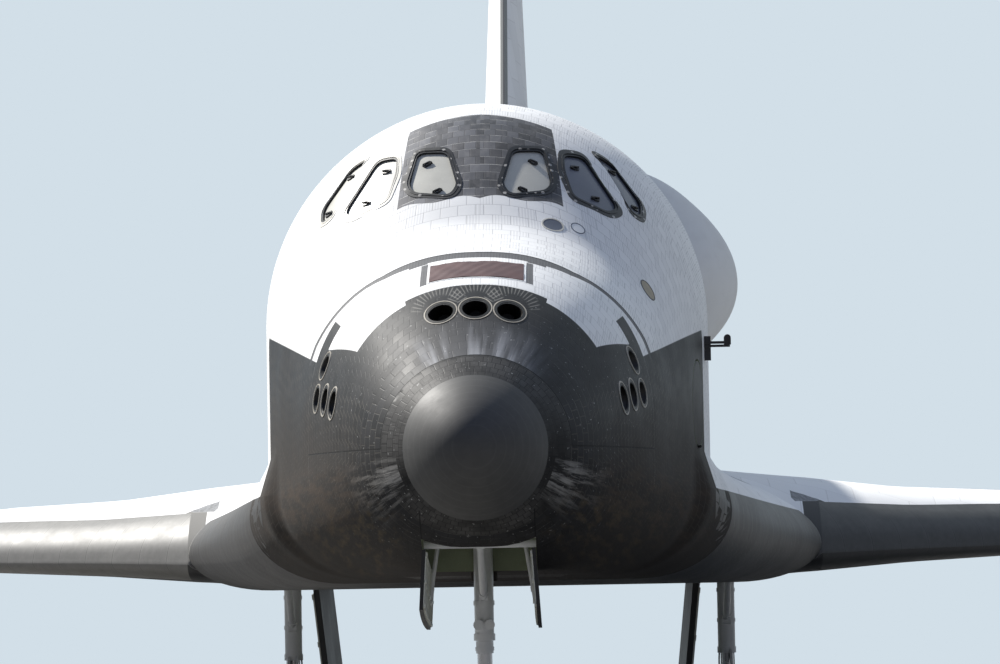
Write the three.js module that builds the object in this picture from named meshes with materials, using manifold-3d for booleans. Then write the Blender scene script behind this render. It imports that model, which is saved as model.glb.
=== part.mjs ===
// Space shuttle orbiter, full size, parked on its landing gear.
// Units are millimetres. Pieces are given in body axes: x to port, y aft of the nose tip, z above the datum.
// The whole airframe is then pitched nose down, so that all three sets of wheels touch the ground.
import * as THREE from "three";
import { mergeVertices } from "three/addons/utils/BufferGeometryUtils.js";
import Module from "manifold-3d";

const wasm = await Module();
wasm.setup();

// Driving dimensions
const NOSE_DOWN = THREE.MathUtils.degToRad(3); // pitch when parked
const DATUM_HEIGHT = 1349.7; // ground to the datum, below the nose tip
const GAP = 0.3; // joint between fixed pieces
const SEAT = 0.95; // joint where a curved piece sits on the body skin
const SKIN = 120; // thickness of shell walls and doors
const FAR = 60000; // reach of a cutting block

// Stations along the body
const CAP_END = 610;
const THRUSTER_MODULE = { front: 965, rear: 3735, floor: 1780 };
const CABIN = { front: 4750, rear: 8690, floor: 1450, deck: 3350 };
const FORWARD_END = 8815;
const MID_END = 27230;
const BASE = 32765;
const BAY = { front: 8930, rear: 27110, radius: 2335, axisZ: 3430 };
const SILL = 3940; // lower edge of the payload bay doors
const SIDE = 2740; // where wing and body meet

// Body sections: one row per station. The half outline runs from the belly centre over a flat,
// round the chine, over the top of the glove to the side wall, and over a superellipse to the crown.
// Bulge says how round the glove's top is: 0 is a straight line, 1 a quarter of an ellipse.
const COLUMNS = ["y", "wall", "chine", "flat", "belly", "chineZ", "gloveZ", "shoulderZ", "crown", "power", "bulge"];
const BODY_ROWS = [
  [610, 765, 765, 15, 1005, 1770, 1779, 1781, 2535, 2.0, 0],
  [965, 1010, 1010, 75, 850, 1740, 1765, 1790, 2755, 2.0, 0],
  [1395, 1230, 1230, 180, 710, 1700, 1765, 1830, 3050, 2.05, 0],
  [1820, 1400, 1400, 280, 620, 1665, 1770, 1880, 3315, 2.1, 0],
  [2665, 1670, 1670, 455, 520, 1600, 1780, 1955, 3695, 2.2, 0],
  [3735, 1940, 1940, 685, 445, 1525, 1790, 2045, 4025, 2.25, 0],
  [5055, 2220, 2220, 990, 390, 1420, 1840, 2260, 4420, 2.15, 0],
  [5460, 2305, 2305, 1090, 375, 1395, 1870, 2360, 4750, 2.05, 0],
  [5920, 2395, 2395, 1205, 360, 1370, 1900, 2490, 5180, 2.0, 0],
  [6350, 2465, 2465, 1320, 345, 1360, 1900, 2615, 5565, 2.0, 0],
  [6730, 2525, 2665, 1420, 330, 1345, 1850, 2770, 5805, 2.0, 0],
  [7240, 2605, 2750, 1525, 315, 1320, 1800, 3025, 5995, 2.0, 0],
  [7875, 2680, 2845, 1650, 290, 1200, 1760, 3250, 6110, 2.0, 0.25],
  [8815, 2735, 2995, 1830, 260, 1090, 1735, 3430, 6160, 2.0, 0.5],
  [11810, 2735, 3470, 2465, 160, 890, 1745, 3430, 6160, 2.0, 0.65],
  [20040, 2735, 4775, 3500, 25, 600, 1785, 3430, 6160, 2.0, 0.65],
  [20060, 2735, 2735, 2690, 25, 70, 1000, 3430, 6160, 2.0, 0],
  [27230, 2735, 2735, 2690, 65, 110, 1000, 3430, 6160, 2.0, 0],
  [29260, 2735, 2735, 2690, 125, 170, 1000, 3430, 6120, 2.0, 0],
  [32300, 2735, 2735, 2690, 275, 320, 1000, 3430, 6020, 2.0, 0],
  [32765, 2735, 2735, 2690, 295, 340, 1000, 3430, 6000, 2.0, 0],
];
const NOSE_STATIONS = [2, 40, 130, 280, 450];
const CHINE_STEPS = 3;
const GLOVE_SHARES = [0.1, 0.4, 1]; // of the way from the chine to the side wall
const CROWN_STEPS = 8;

// Wing planform and thickness, for one side; x is the distance from the centreline
const WING = {
  kinkX: 4775, kinkY: 20040, tipX: 11895,
  rootTrailY: 32770, trailSlope: 0.17733,
  leadZ: 597, leadRise: 0, trailZ: 457, trailRise: 0.0606,
};
const WING_SECTIONS = [SIDE + GAP, 3400, 4115, 4775, 6400, 8230, 10100, 11895];
const WING_THICKNESS = [[2740, 1800], [4775, 1480], [6300, 1190], [8230, 1010], [11895, 432]];
const UPPER_FORM = [
  [0, 0.03], [0.008, 0.32], [0.02, 0.48], [0.06, 0.68], [0.13, 0.84],
  [0.25, 0.96], [0.4, 1], [0.6, 0.8], [0.8, 0.4], [1, 0.04],
];
const LOWER_FORM = [
  [0, 0.03], [0.008, 0.32], [0.02, 0.6], [0.06, 0.85], [0.13, 1],
  [0.25, 1], [0.4, 1], [0.6, 0.88], [0.8, 0.45], [1, 0.04],
];
const UPPER_SHARE = 0.7;
const LEADING_EDGE_DEPTH = 420; // depth of the carbon leading edge, square to its sweep

// Elevons: one straight hinge line a side, with a round nose that tapers outboard
const ELEVON = {
  hingeY: 29260, inX: 2972, splitX: 7925, outX: 11790, inZ: 636, outZ: 914,
  inRadius: 338, outRadius: 178, cove: 12, endGap: 15, pin: 55, pinLength: 90,
};

// Fin and rudder
const FIN = { rootZ: 5700, overhangZ: 6460, tipZ: 13990, rootLead: 26160, tipLead: 34511, rootTrail: 33180, tipTrail: 37267 };
const FIN_THICKNESS = [478, 193]; // half thickness at root and tip
const FIN_FORM = [[0, 0.04], [0.06, 0.3], [0.3, 0.78], [0.6, 1], [1, 0.1]];
const RUDDER = { lowY: 31965, lowZ: 7950, highY: 35515, highZ: 13055, lowRadius: 372, highRadius: 205, cove: 10 };

// Engine pods beside the fin: station, centre x, centre z, half size along and across the tilt
const POD_TILT = -0.76;
const POD_ROWS = [
  [27235, 2330, 5080, 90, 70],
  [27500, 2380, 5130, 450, 350],
  [28100, 2440, 5230, 850, 700],
  [29260, 2400, 5380, 1350, 1110],
  [30800, 2330, 5480, 1720, 1410],
  [32590, 2288, 5544, 1893, 1540],
  [33400, 2500, 5580, 1560, 1330],
  [33860, 2540, 5590, 1300, 1110],
];

// Main engines: name, gimbal x, y, z, pitch up and yaw outboard in degrees
const MAIN_ENGINES = [
  ["main_engine_top", 0, 30735, 4520, 16, 0],
  ["main_engine_port", 1345, 31325, 1970, 10, 3.5],
  ["main_engine_stbd", -1345, 31325, 1970, 10, -3.5],
];
// Nozzle outlines from the gimbal aft: distance, radius
const NOZZLE_OUTER = [[1250, 1020], [1750, 930], [2000, 700], [2150, 640], [2600, 840], [3300, 1050], [4267, 1194]];
const NOZZLE_INNER = [[2150, 420], [2600, 790], [3300, 1000], [4267, 1150]];
const POD_NOZZLE_OUTER = [[0, 420], [350, 330], [600, 390], [1000, 500], [1500, 585]];
const POD_NOZZLE_INNER = [[400, 160], [600, 350], [1000, 462], [1500, 550]];

// Landing gear
const MAIN_GEAR = { x: 3455, y: 23800, tyre: 565, width: 400, spacing: 800, axle: 85 };
const NOSE_GEAR = { x: 0, y: 3632, tyre: 406.4, width: 220, spacing: 560, axle: 60 };
const NOSE_WELL = { half: 610, front: 1330, rear: 3790, roof: 1250 };
const MAIN_WELL = { inX: 2830, outX: 4260, front: 20450, rear: 24350, roof: 1050 };

// Body flap under the engines
const FLAP = { half: 2800, hingeY: 32945, hingeZ: 560, radius: 250, tailY: 35000, tailLow: 388, tailHigh: 450, lugs: [-2000, -700, 700, 2000] };

// Side hatch and cabin windows. Window corners are x and z on the skin, port side.
const HATCH = { y: 6805, z: 2360, radius: 508, gap: 22 };
const WINDOWS = {
  front: [[380, 5386], [750, 5392], [862, 4963], [785, 4844], [345, 4793], [248, 4937]],
  middle: [[970, 5345], [1216, 5325], [1634, 4635], [1500, 4580], [1092, 4775], [981, 5135]],
  side: [[1343, 5376], [1537, 5272], [1907, 4737], [1902, 4556], [1770, 4630]],
};
const WINDOW_COVER = 60;

// Thrusters in the nose module: x, y, z, direction, radius of the mouth
const FORWARD_JETS = [
  [0, 1820, 3288, [0, -1, 0.25], 140],
  [372, 1820, 3250, [0.1, -1, 0.25], 140],
  [0, 2945, 3785, [0, 0, 1], 120],
  [366, 2945, 3765, [0.05, 0, 1], 120],
  [1765, 3243, 2762, [1, 0, 0.1], 125],
  [1820, 3295, 2394, [1, 0, 0], 125],
  [1560, 2511, 2332, [1, -0.2, -0.5], 115],
  [1682, 2881, 2373, [1, -0.2, -0.5], 115],
];

// Solids and lofts
function solid(points, triangles) {
  const mesh = (list) =>
    new wasm.Manifold(
      new wasm.Mesh({ numProp: 3, vertProperties: new Float32Array(points.flat()), triVerts: new Uint32Array(list.flat()) }),
    );
  const made = mesh(triangles);
  return made.volume() > 0 ? made : mesh(triangles.map(([a, b, c]) => [a, c, b]));
}

function solidOf(geometry) {
  const bare = geometry.clone();
  bare.deleteAttribute("normal");
  bare.deleteAttribute("uv");
  const merged = mergeVertices(bare, 1e-3);
  const mesh = new wasm.Mesh({
    numProp: 3,
    vertProperties: merged.attributes.position.array,
    triVerts: new Uint32Array(merged.index.array),
  });
  return new wasm.Manifold(mesh);
}

// Skin over closed rings of equal length, alike on both halves of a ring; each end is capped by a fan
function loft(rings) {
  const count = rings[0].length;
  const points = rings.flat();
  const triangles = [];
  for (let r = 0; r + 1 < rings.length; r++)
    for (let i = 0; i < count; i++) {
      const j = (i + 1) % count;
      const a = r * count + i;
      const b = r * count + j;
      if (2 * i < count) triangles.push([a, b, b + count], [a, b + count, a + count]);
      else triangles.push([a, b, a + count], [b, b + count, a + count]);
    }
  for (const first of [0, (rings.length - 1) * count]) {
    const ring = points.slice(first, first + count);
    const middle = [0, 1, 2].map((axis) => ring.reduce((sum, p) => sum + p[axis], 0) / count);
    const centre = points.push(middle) - 1;
    for (let i = 0; i < count; i++) {
      const ends = [first + i, first + ((i + 1) % count)];
      triangles.push(first === 0 ? [centre, ends[1], ends[0]] : [centre, ...ends]);
    }
  }
  return solid(points, triangles);
}

// Straight prisms: an outline in one plane, from one value to another along the third axis
const prismZ = (outline, low, high) => loft([low, high].map((z) => outline.map(([x, y]) => [x, y, z])));
const prismX = (outline, low, high) => loft([low, high].map((x) => outline.map(([y, z]) => [x, y, z])));
const prismY = (outline, low, high) => loft([low, high].map((y) => outline.map(([x, z]) => [x, y, z])));

function block(x0, x1, y0, y1, z0, z1) {
  const box = new THREE.BoxGeometry(x1 - x0, y1 - y0, z1 - z0);
  return solidOf(box.translate((x0 + x1) / 2, (y0 + y1) / 2, (z0 + z1) / 2));
}

// A round bar or cone between two points
function bar(from, to, radius, endRadius = radius, sides = 14) {
  const a = new THREE.Vector3(...from);
  const b = new THREE.Vector3(...to);
  const along = b.clone().sub(a);
  const round = new THREE.CylinderGeometry(endRadius, radius, along.length(), sides);
  const turn = new THREE.Quaternion().setFromUnitVectors(new THREE.Vector3(0, 1, 0), along.normalize());
  const middle = a.add(b).multiplyScalar(0.5);
  return solidOf(round.applyQuaternion(turn).translate(middle.x, middle.y, middle.z));
}

// A turned shape: an outline of distance and radius, closed on itself or on the axis
function turned(outline, from, direction, sides = 32) {
  const shape = new THREE.LatheGeometry(outline.map(([d, r]) => new THREE.Vector2(r, d)), sides);
  const turn = new THREE.Quaternion().setFromUnitVectors(new THREE.Vector3(0, 1, 0), new THREE.Vector3(...direction).normalize());
  const made = solidOf(shape.applyQuaternion(turn).translate(...from));
  if (made.volume() > 0) return made;
  return solidOf(new THREE.LatheGeometry(outline.toReversed().map(([d, r]) => new THREE.Vector2(r, d)), sides)
    .applyQuaternion(turn).translate(...from));
}

const mirrored = (piece) => piece.mirror([1, 0, 0]);
const all = (pieces) => pieces.reduce((sum, piece) => sum.add(piece));

function lookUp(table, at) {
  const last = table.length - 1;
  let i = 0;
  while (i < last - 1 && at > table[i + 1][0]) i++;
  const share = THREE.MathUtils.clamp((at - table[i][0]) / (table[i + 1][0] - table[i][0]), 0, 1);
  return table[i][1] + share * (table[i + 1][1] - table[i][1]);
}

// Body form
function bodyRow(y) {
  if (y < CAP_END) {
    const radius = Math.sqrt(1077.3 * y - 0.1933 * y * y);
    return { y, wall: radius, chine: radius, flat: radius * 0.02, belly: 1770 - radius, chineZ: 1770,
      gloveZ: 1770 + radius * 0.012, shoulderZ: 1770 + radius * 0.015, crown: 1770 + radius, power: 2, bulge: 1 };
  }
  return Object.fromEntries(COLUMNS.map((name, i) => [name, lookUp(BODY_ROWS.map((row) => [row[0], row[i]]), y)]));
}

function bodyRing(row, inset) {
  const wall = row.wall - inset;
  const chine = row.chine - inset;
  const belly = row.belly + inset;
  const crown = row.crown - inset;
  const half = [];
  for (let i = 0; i <= CHINE_STEPS; i++) {
    const angle = (i / CHINE_STEPS) * (Math.PI / 2);
    half.push([row.flat + (chine - row.flat) * Math.sin(angle), row.chineZ - (row.chineZ - belly) * Math.cos(angle)]);
  }
  for (const share of GLOVE_SHARES) {
    const rise = (1 - row.bulge) * share + row.bulge * Math.sqrt(1 - (1 - share) ** 2);
    half.push([chine + (wall - chine) * share, row.chineZ + (row.gloveZ - row.chineZ) * rise]);
  }
  for (let i = 0; i < CROWN_STEPS; i++) {
    const angle = (i / CROWN_STEPS) * (Math.PI / 2);
    half.push([
      wall * Math.cos(angle) ** (2 / row.power),
      row.shoulderZ + (crown - row.shoulderZ) * Math.sin(angle) ** (2 / row.power),
    ]);
  }
  const other = half.toReversed().map(([x, z]) => [-x, z]);
  return [[0, belly], ...half, [0, crown], ...other].map(([x, z]) => [x, row.y, z]);
}

function bodyForm(inset = 0) {
  const stations = [...NOSE_STATIONS.filter(() => inset <= 0), ...BODY_ROWS.map((row) => row[0])];
  return loft(stations.map((y) => bodyRing(bodyRow(y), inset)));
}

// Body skin point for a given x and z, looking aft
function skinPoint([x, z]) {
  const outside = (y) => {
    const row = bodyRow(y);
    if (z > row.shoulderZ)
      return (Math.abs(x) / row.wall) ** row.power + ((z - row.shoulderZ) / (row.crown - row.shoulderZ)) ** row.power > 1;
    return Math.abs(x) > row.wall;
  };
  let near = CAP_END;
  let far = FORWARD_END;
  for (let i = 0; i < 40; i++) {
    const middle = (near + far) / 2;
    if (outside(middle)) near = middle;
    else far = middle;
  }
  return new THREE.Vector3(x, far, z);
}

const body = bodyForm();
const bodyInside = bodyForm(SKIN);
const bodyGrown = bodyForm(-SEAT);
const bodyClear = bodyGrown.add(bodyGrown.translate([0, SEAT, 0]));
const between = (from, to, z0 = -FAR, z1 = FAR, half = SIDE) => block(-half, half, from, to, z0, z1);

// Window openings and their covers: the outline pushed square through the skin
function windowPlug(corners, shrink, proud, deep) {
  const points = corners.map(skinPoint);
  const centre = points.reduce((sum, p) => sum.add(p), new THREE.Vector3()).multiplyScalar(1 / points.length);
  const normal = new THREE.Vector3();
  points.forEach((p, i) => {
    const next = points[(i + 1) % points.length];
    normal.add(p.clone().sub(centre).cross(next.clone().sub(centre)));
  });
  normal.normalize();
  if (normal.y > 0) normal.negate();
  const flat = points.map((p) => {
    const d = p.clone().sub(centre);
    d.addScaledVector(normal, -d.dot(normal));
    return centre.clone().addScaledVector(d, (d.length() - shrink) / d.length());
  });
  return loft([proud, -deep].map((reach) => flat.map((p) => p.clone().addScaledVector(normal, reach).toArray())));
}

const windowNames = Object.keys(WINDOWS);
const windowHoles = all(windowNames.map((name) => windowPlug(WINDOWS[name], 0, 150, 400)));
const coverShell = body.subtract(bodyForm(WINDOW_COVER));
const windowCovers = windowNames.map((name) => [name, coverShell.intersect(windowPlug(WINDOWS[name], 1, 150, 250))]);

// A hinge barrel along the body, fixed to one side, and the round seat that it turns in on the other
function hingeBar(hinge, y, extra = 0) {
  const reach = hinge.half + extra;
  const rise = reach * hinge.slope;
  const radius = hinge.radius * (extra ? 1.033 : 1);
  return bar([hinge.x, y - reach, hinge.z - rise], [hinge.x, y + reach, hinge.z + rise], radius);
}
const DOOR_HINGE = { x: 2692, z: 3934, radius: 24, half: 180, slope: 0, stations: [9400, 18000, 26600] };
const HATCH_HINGE = { x: 2548, z: 1846, radius: 16, half: 170, slope: 0 };
const UMBILICAL_HINGE = { x: 1284, z: 77, radius: 20, half: 60, slope: 60 / 2030 };
const hingeSeat = (hinge, y) => hingeBar(hinge, y, 20);

// Nose
const noseCap = body.intersect(between(-FAR, CAP_END - GAP));

function thrusterModule() {
  let made = body.intersect(
    between(THRUSTER_MODULE.front + GAP, THRUSTER_MODULE.rear - GAP, THRUSTER_MODULE.floor, FAR),
  );
  for (const [x, y, z, direction, radius] of FORWARD_JETS) {
    const out = new THREE.Vector3(...direction).normalize();
    const mouth = new THREE.Vector3(x, y, z);
    const deep = mouth.clone().addScaledVector(out, -330).toArray();
    const proud = mouth.clone().addScaledVector(out, 420).toArray();
    const hole = bar(deep, proud, radius * 0.55, radius * 1.57, 12);
    made = made.subtract(hole);
    if (x > 0) made = made.subtract(mirrored(hole));
  }
  return made;
}

// Crew section
const cabinRoom = bodyInside.intersect(between(CABIN.front, CABIN.rear, CABIN.floor, FAR));
const hatchHole = bar([1500, HATCH.y, HATCH.z], [3200, HATCH.y, HATCH.z], HATCH.radius + HATCH.gap, HATCH.radius + HATCH.gap, 32);
const noseWell = block(-NOSE_WELL.half, NOSE_WELL.half, NOSE_WELL.front, NOSE_WELL.rear, -FAR, NOSE_WELL.roof);

const forwardFuselage = body
  .intersect(between(CAP_END, FORWARD_END))
  .subtract(block(-FAR, FAR, THRUSTER_MODULE.front, THRUSTER_MODULE.rear, THRUSTER_MODULE.floor - GAP, FAR))
  .subtract(cabinRoom)
  .subtract(windowHoles)
  .subtract(mirrored(windowHoles))
  .subtract(hatchHole)
  .subtract(noseWell)
  .add(bar([0, 4000, 330], [0, 4000, 700], 150)) // forward attachment face
  .add(hingeBar(HATCH_HINGE, HATCH.y));

const hatchDisc = bar([1500, HATCH.y, HATCH.z], [3200, HATCH.y, HATCH.z], HATCH.radius, HATCH.radius, 32);
const sideHatch = body.subtract(bodyInside).intersect(hatchDisc).subtract(hingeSeat(HATCH_HINGE, HATCH.y));

// Decks, lockers and the two pilots' seats inside the cabin
function cabinFurniture() {
  const inner = bodyForm(SKIN + 20);
  const deckBlock = between(CABIN.front + 250, CABIN.rear - 20, CABIN.deck, CABIN.deck + 80);
  const floorBlock = between(CABIN.front + 20, CABIN.rear - 20, CABIN.floor + GAP, CABIN.floor + 90);
  const lockers = block(-1500, 1500, CABIN.front + 300, CABIN.front + 850, CABIN.floor + 80, CABIN.deck + 10);
  const airlock = bar([0, 7900, CABIN.floor + 80], [0, 7900, CABIN.deck + 10], 640);
  const console = prismX([[6150, 3420], [6150, 4150], [6500, 4350], [6900, 3900], [6900, 3420]], -1250, 1250);
  const seat = (x) =>
    all([
      block(x - 260, x + 260, 7150, 7680, 3420, 3950),
      block(x - 260, x + 260, 7600, 7720, 3420, 4700),
    ]);
  return inner.intersect(all([deckBlock, floorBlock, lockers, airlock, console, seat(620), seat(-620)]));
}

// Payload bay section
const doorBarrels = all(DOOR_HINGE.stations.map((y) => hingeBar(DOOR_HINGE, y)));
const bayRoom = bar([0, BAY.front, BAY.axisZ], [0, BAY.rear, BAY.axisZ], BAY.radius, BAY.radius, 48);
const bayMouth = block(-BAY.radius, BAY.radius, BAY.front, BAY.rear, BAY.axisZ, FAR);
const midFuselage = body
  .intersect(between(FORWARD_END + GAP, MID_END - GAP))
  .subtract(bayRoom)
  .subtract(bayMouth)
  .subtract(block(-FAR, FAR, FORWARD_END - 1, MID_END + 1, SILL - 12, FAR))
  .add(
    body
      .intersect(block(-FAR, FAR, FORWARD_END + GAP, BAY.front - 20, BAY.axisZ, FAR))
      .add(body.intersect(block(-FAR, FAR, BAY.rear + 20, MID_END - GAP, BAY.axisZ, FAR))),
  )
  .add(doorBarrels)
  .add(mirrored(doorBarrels));

const doorShell = body
  .subtract(bodyInside)
  .intersect(block(6, FAR, BAY.front, BAY.rear, SILL, FAR))
  .subtract(all(DOOR_HINGE.stations.map((y) => hingeSeat(DOOR_HINGE, y))));
const radiatorShell = bodyForm(SKIN + GAP)
  .subtract(bodyForm(SKIN + 60))
  .intersect(block(300, FAR, BAY.front + 200, BAY.rear - 200, SILL + 560, FAR));

// Aft section with its engine mounting plane, body flap cove, attachment faces and umbilical wells
const UMBILICAL = { inX: 1290, outX: 2450, front: 27330, rear: 28600, roof: 700, door: 40 };
const umbilicalWell = block(UMBILICAL.inX, UMBILICAL.outX, UMBILICAL.front, UMBILICAL.rear, -FAR, UMBILICAL.roof);
const umbilicalDoor = body
  .subtract(bodyForm(UMBILICAL.door))
  .intersect(
    block(UMBILICAL.inX + 12, UMBILICAL.outX - 12, UMBILICAL.front + 12, UMBILICAL.rear - 12, -FAR, UMBILICAL.roof),
  );
const umbilicalBarrel = hingeBar(UMBILICAL_HINGE, (UMBILICAL.front + UMBILICAL.rear) / 2);
const attachment = (x) => bar([x, 27484, 20], [x, 27484, 400], 110);
// Body flap carriers: a round lug with a cross pin, held off the base
const flapAxis = (x0, x1, radius) =>
  bar([x0, FLAP.hingeY, FLAP.hingeZ], [x1, FLAP.hingeY, FLAP.hingeZ], radius, radius, 24);
const flapLug = (x) =>
  all([
    flapAxis(x - 70, x + 70, 110),
    flapAxis(x - 140, x + 140, 45),
    block(x - 70, x + 70, BASE - 300, FLAP.hingeY, FLAP.hingeZ - 70, FLAP.hingeZ + 70),
  ]);
const flapLugRoom = (x) =>
  all([
    block(x - 85, x + 85, 0, FLAP.hingeY + 125, FLAP.hingeZ - 300, FLAP.hingeZ + 300),
    flapAxis(x - 160, x + 160, 45.6),
  ]);
const aftFuselage = body
  .intersect(between(MID_END, FAR, -FAR, FAR, FAR))
  .subtract(bar([-FAR, FLAP.hingeY, FLAP.hingeZ], [FAR, FLAP.hingeY, FLAP.hingeZ], FLAP.radius + 10, FLAP.radius + 10, 32))
  .subtract(umbilicalWell)
  .subtract(mirrored(umbilicalWell))
  .add(attachment(2585))
  .add(attachment(-2585))
  .add(umbilicalBarrel)
  .add(mirrored(umbilicalBarrel))
  .add(all(FLAP.lugs.map(flapLug)));

const bodyFlap = loft(
  [-FLAP.half, FLAP.half].map((x) => {
    const ring = [];
    for (let i = 0; i <= 12; i++) {
      const angle = Math.PI / 2 + (i / 12) * Math.PI;
      ring.push([x, FLAP.hingeY + FLAP.radius * Math.cos(angle), FLAP.hingeZ + FLAP.radius * Math.sin(angle)]);
    }
    ring.push([x, FLAP.tailY, FLAP.tailLow], [x, FLAP.tailY, FLAP.tailHigh]);
    return ring;
  }),
).subtract(all(FLAP.lugs.map(flapLugRoom)));

// Engines
function engine([, x, y, z, pitch, yaw]) {
  const up = THREE.MathUtils.degToRad(pitch);
  const out = THREE.MathUtils.degToRad(yaw);
  const direction = [Math.sin(out) * Math.cos(up), Math.cos(out) * Math.cos(up), Math.sin(up)];
  const outline = [[1250, 0], ...NOZZLE_OUTER, ...NOZZLE_INNER.toReversed(), [NOZZLE_INNER[0][0], 0]];
  return turned(outline, [x, y, z], direction, 24).subtract(block(-FAR, FAR, -FAR, BASE + GAP, -FAR, FAR));
}

function podNozzle() {
  const outline = [[0, 0], ...POD_NOZZLE_OUTER, ...POD_NOZZLE_INNER.toReversed(), [POD_NOZZLE_INNER[0][0], 0]];
  return turned(outline, [2235, 33860 + GAP - 250, 5765], [0.12, 1, 0.25], 20)
    .subtract(block(-FAR, FAR, -FAR, 33860 + GAP, -FAR, FAR));
}

function pod() {
  const sides = 20;
  const fullness = 0.85;
  const round = (v) => Math.sign(v) * Math.abs(v) ** fullness;
  const [run, rise] = [Math.cos(POD_TILT), Math.sin(POD_TILT)];
  const rings = POD_ROWS.map(([y, cx, cz, along, across]) =>
    Array.from({ length: sides }, (_, i) => {
      const angle = (i / sides) * 2 * Math.PI;
      const a = along * round(Math.cos(angle));
      const b = across * round(Math.sin(angle));
      return [cx + a * run - b * rise, y, cz + a * rise + b * run];
    }),
  );
  return loft(rings).subtract(bodyClear);
}

// Wing
const leadY = (x) => WING.kinkY + Math.max(0, x - WING.kinkX);
const trailY = (x) => WING.rootTrailY - WING.trailSlope * x;

function wingRing(x) {
  const inboard = Math.max(0, WING.kinkX - x);
  const nominalLead = leadY(x) - 0.56 * inboard - 0.00071 * inboard * inboard;
  const front = inboard > 0 ? WING.kinkY - 15 : leadY(x);
  const chord = trailY(x) - nominalLead;
  const thick = lookUp(WING_THICKNESS, x);
  const upper = [];
  const lower = [];
  for (const [share] of UPPER_FORM) {
    const y = front + share * (trailY(x) - front);
    const at = (y - nominalLead) / chord;
    const lead = WING.leadZ + WING.leadRise * (x - WING.kinkX);
    const trail = WING.trailZ + WING.trailRise * (x - SIDE);
    const line = lead + at * (trail - lead);
    upper.push([x, y, line + UPPER_SHARE * thick * lookUp(UPPER_FORM, at)]);
    lower.push([x, y, line - (1 - UPPER_SHARE) * thick * lookUp(LOWER_FORM, at)]);
  }
  return [...upper, ...lower.toReversed()];
}

const wingForm = loft(WING_SECTIONS.map(wingRing));
const hingeRise = (ELEVON.outZ - ELEVON.inZ) / (ELEVON.outX - ELEVON.inX);
const hingeTaper = (ELEVON.outRadius - ELEVON.inRadius) / (ELEVON.outX - ELEVON.inX);
const hingeZ = (x) => ELEVON.inZ + hingeRise * (x - ELEVON.inX);
const hingeRadius = (x) => ELEVON.inRadius + hingeTaper * (x - ELEVON.inX);
const hingePoint = (x) => [x, ELEVON.hingeY, hingeZ(x)];

// Everything between two planes square to the hinge line
function hingeSlab(from, to) {
  const lean = -hingeRise * FAR;
  const corner = (x, z) => [x + (z > 0 ? lean : -lean) + hingeRise * hingeZ(x), z];
  return prismY([corner(from, -FAR), corner(to, -FAR), corner(to, FAR), corner(from, FAR)], -FAR, FAR);
}

function elevon(from, to, pinFrom) {
  const nose = bar(hingePoint(from - 500), hingePoint(to + 500), hingeRadius(from - 500), hingeRadius(to + 500), 32);
  const blade = wingForm.intersect(block(-FAR, FAR, ELEVON.hingeY, FAR, -FAR, FAR));
  const bore = bar(hingePoint(pinFrom - 120), hingePoint(pinFrom + 120), ELEVON.pin + 1, ELEVON.pin + 1, 20);
  return nose.add(blade).intersect(hingeSlab(from, to)).subtract(bore);
}

// The wing's rear face: hollow round the hinge, with its lips cut back for the elevon's travel
function elevonBay() {
  const from = ELEVON.inX - ELEVON.endGap;
  const to = ELEVON.outX + ELEVON.endGap;
  const cove = bar(hingePoint(from - 500), hingePoint(to + 500), hingeRadius(from - 500) + ELEVON.cove, hingeRadius(to + 500) + ELEVON.cove, 32);
  const lip = (share, z0, z1) => {
    const line = (x) => [x, ELEVON.hingeY - share * hingeRadius(x)];
    return prismZ([line(from - 500), line(to + 500), [to + 500, FAR], [from - 500, FAR]], z0, z1);
  };
  const middleZ = hingeZ((from + to) / 2);
  return all([cove, lip(0.92, middleZ, FAR), lip(0.57, -FAR, middleZ + 1)]).intersect(hingeSlab(from, to));
}

const glove = body.intersect(block(SIDE + GAP, FAR, CAP_END, WING.kinkY, -FAR, FAR));
const mainWell = block(MAIN_WELL.inX, MAIN_WELL.outX, MAIN_WELL.front, MAIN_WELL.rear, -FAR, MAIN_WELL.roof);
const edgeLine = LEADING_EDGE_DEPTH * Math.SQRT2;
const edgeOutline = (back) => [
  [WING.kinkX + 20, 0],
  [WING.kinkX + 20, leadY(WING.kinkX + 20) + back],
  [WING.tipX + 20, leadY(WING.tipX + 20) + back],
  [WING.tipX + 20, 0],
];
const pinBar = (x) => bar(hingePoint(x - ELEVON.pinLength), hingePoint(x + ELEVON.pinLength), ELEVON.pin, ELEVON.pin, 20);
const wing = wingForm
  .subtract(elevonBay())
  .add(glove)
  .subtract(mainWell)
  .subtract(prismZ(edgeOutline(edgeLine + GAP), -FAR, FAR))
  .add(pinBar(ELEVON.inX - ELEVON.endGap))
  .add(pinBar(ELEVON.outX + ELEVON.endGap));
const leadingEdge = wingForm.intersect(prismZ(edgeOutline(edgeLine), -FAR, FAR));
const elevonInner = elevon(ELEVON.inX, ELEVON.splitX - ELEVON.endGap, ELEVON.inX);
const elevonOuter = elevon(ELEVON.splitX + ELEVON.endGap, ELEVON.outX, ELEVON.outX);

// Fin, rudder spine and the two rudder panels
function finForm() {
  return loft(
    [0, 1].map((share) => {
      const z = THREE.MathUtils.lerp(FIN.rootZ, FIN.tipZ, share);
      const lead = THREE.MathUtils.lerp(FIN.rootLead, FIN.tipLead, share);
      const trail = THREE.MathUtils.lerp(FIN.rootTrail, FIN.tipTrail, share);
      const half = THREE.MathUtils.lerp(...FIN_THICKNESS, share);
      const port = FIN_FORM.map(([at, width]) => [half * width, THREE.MathUtils.lerp(lead, trail, at), z]);
      return [...port, ...port.toReversed().map(([x, y, height]) => [-x, y, height])];
    }),
  );
}

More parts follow.
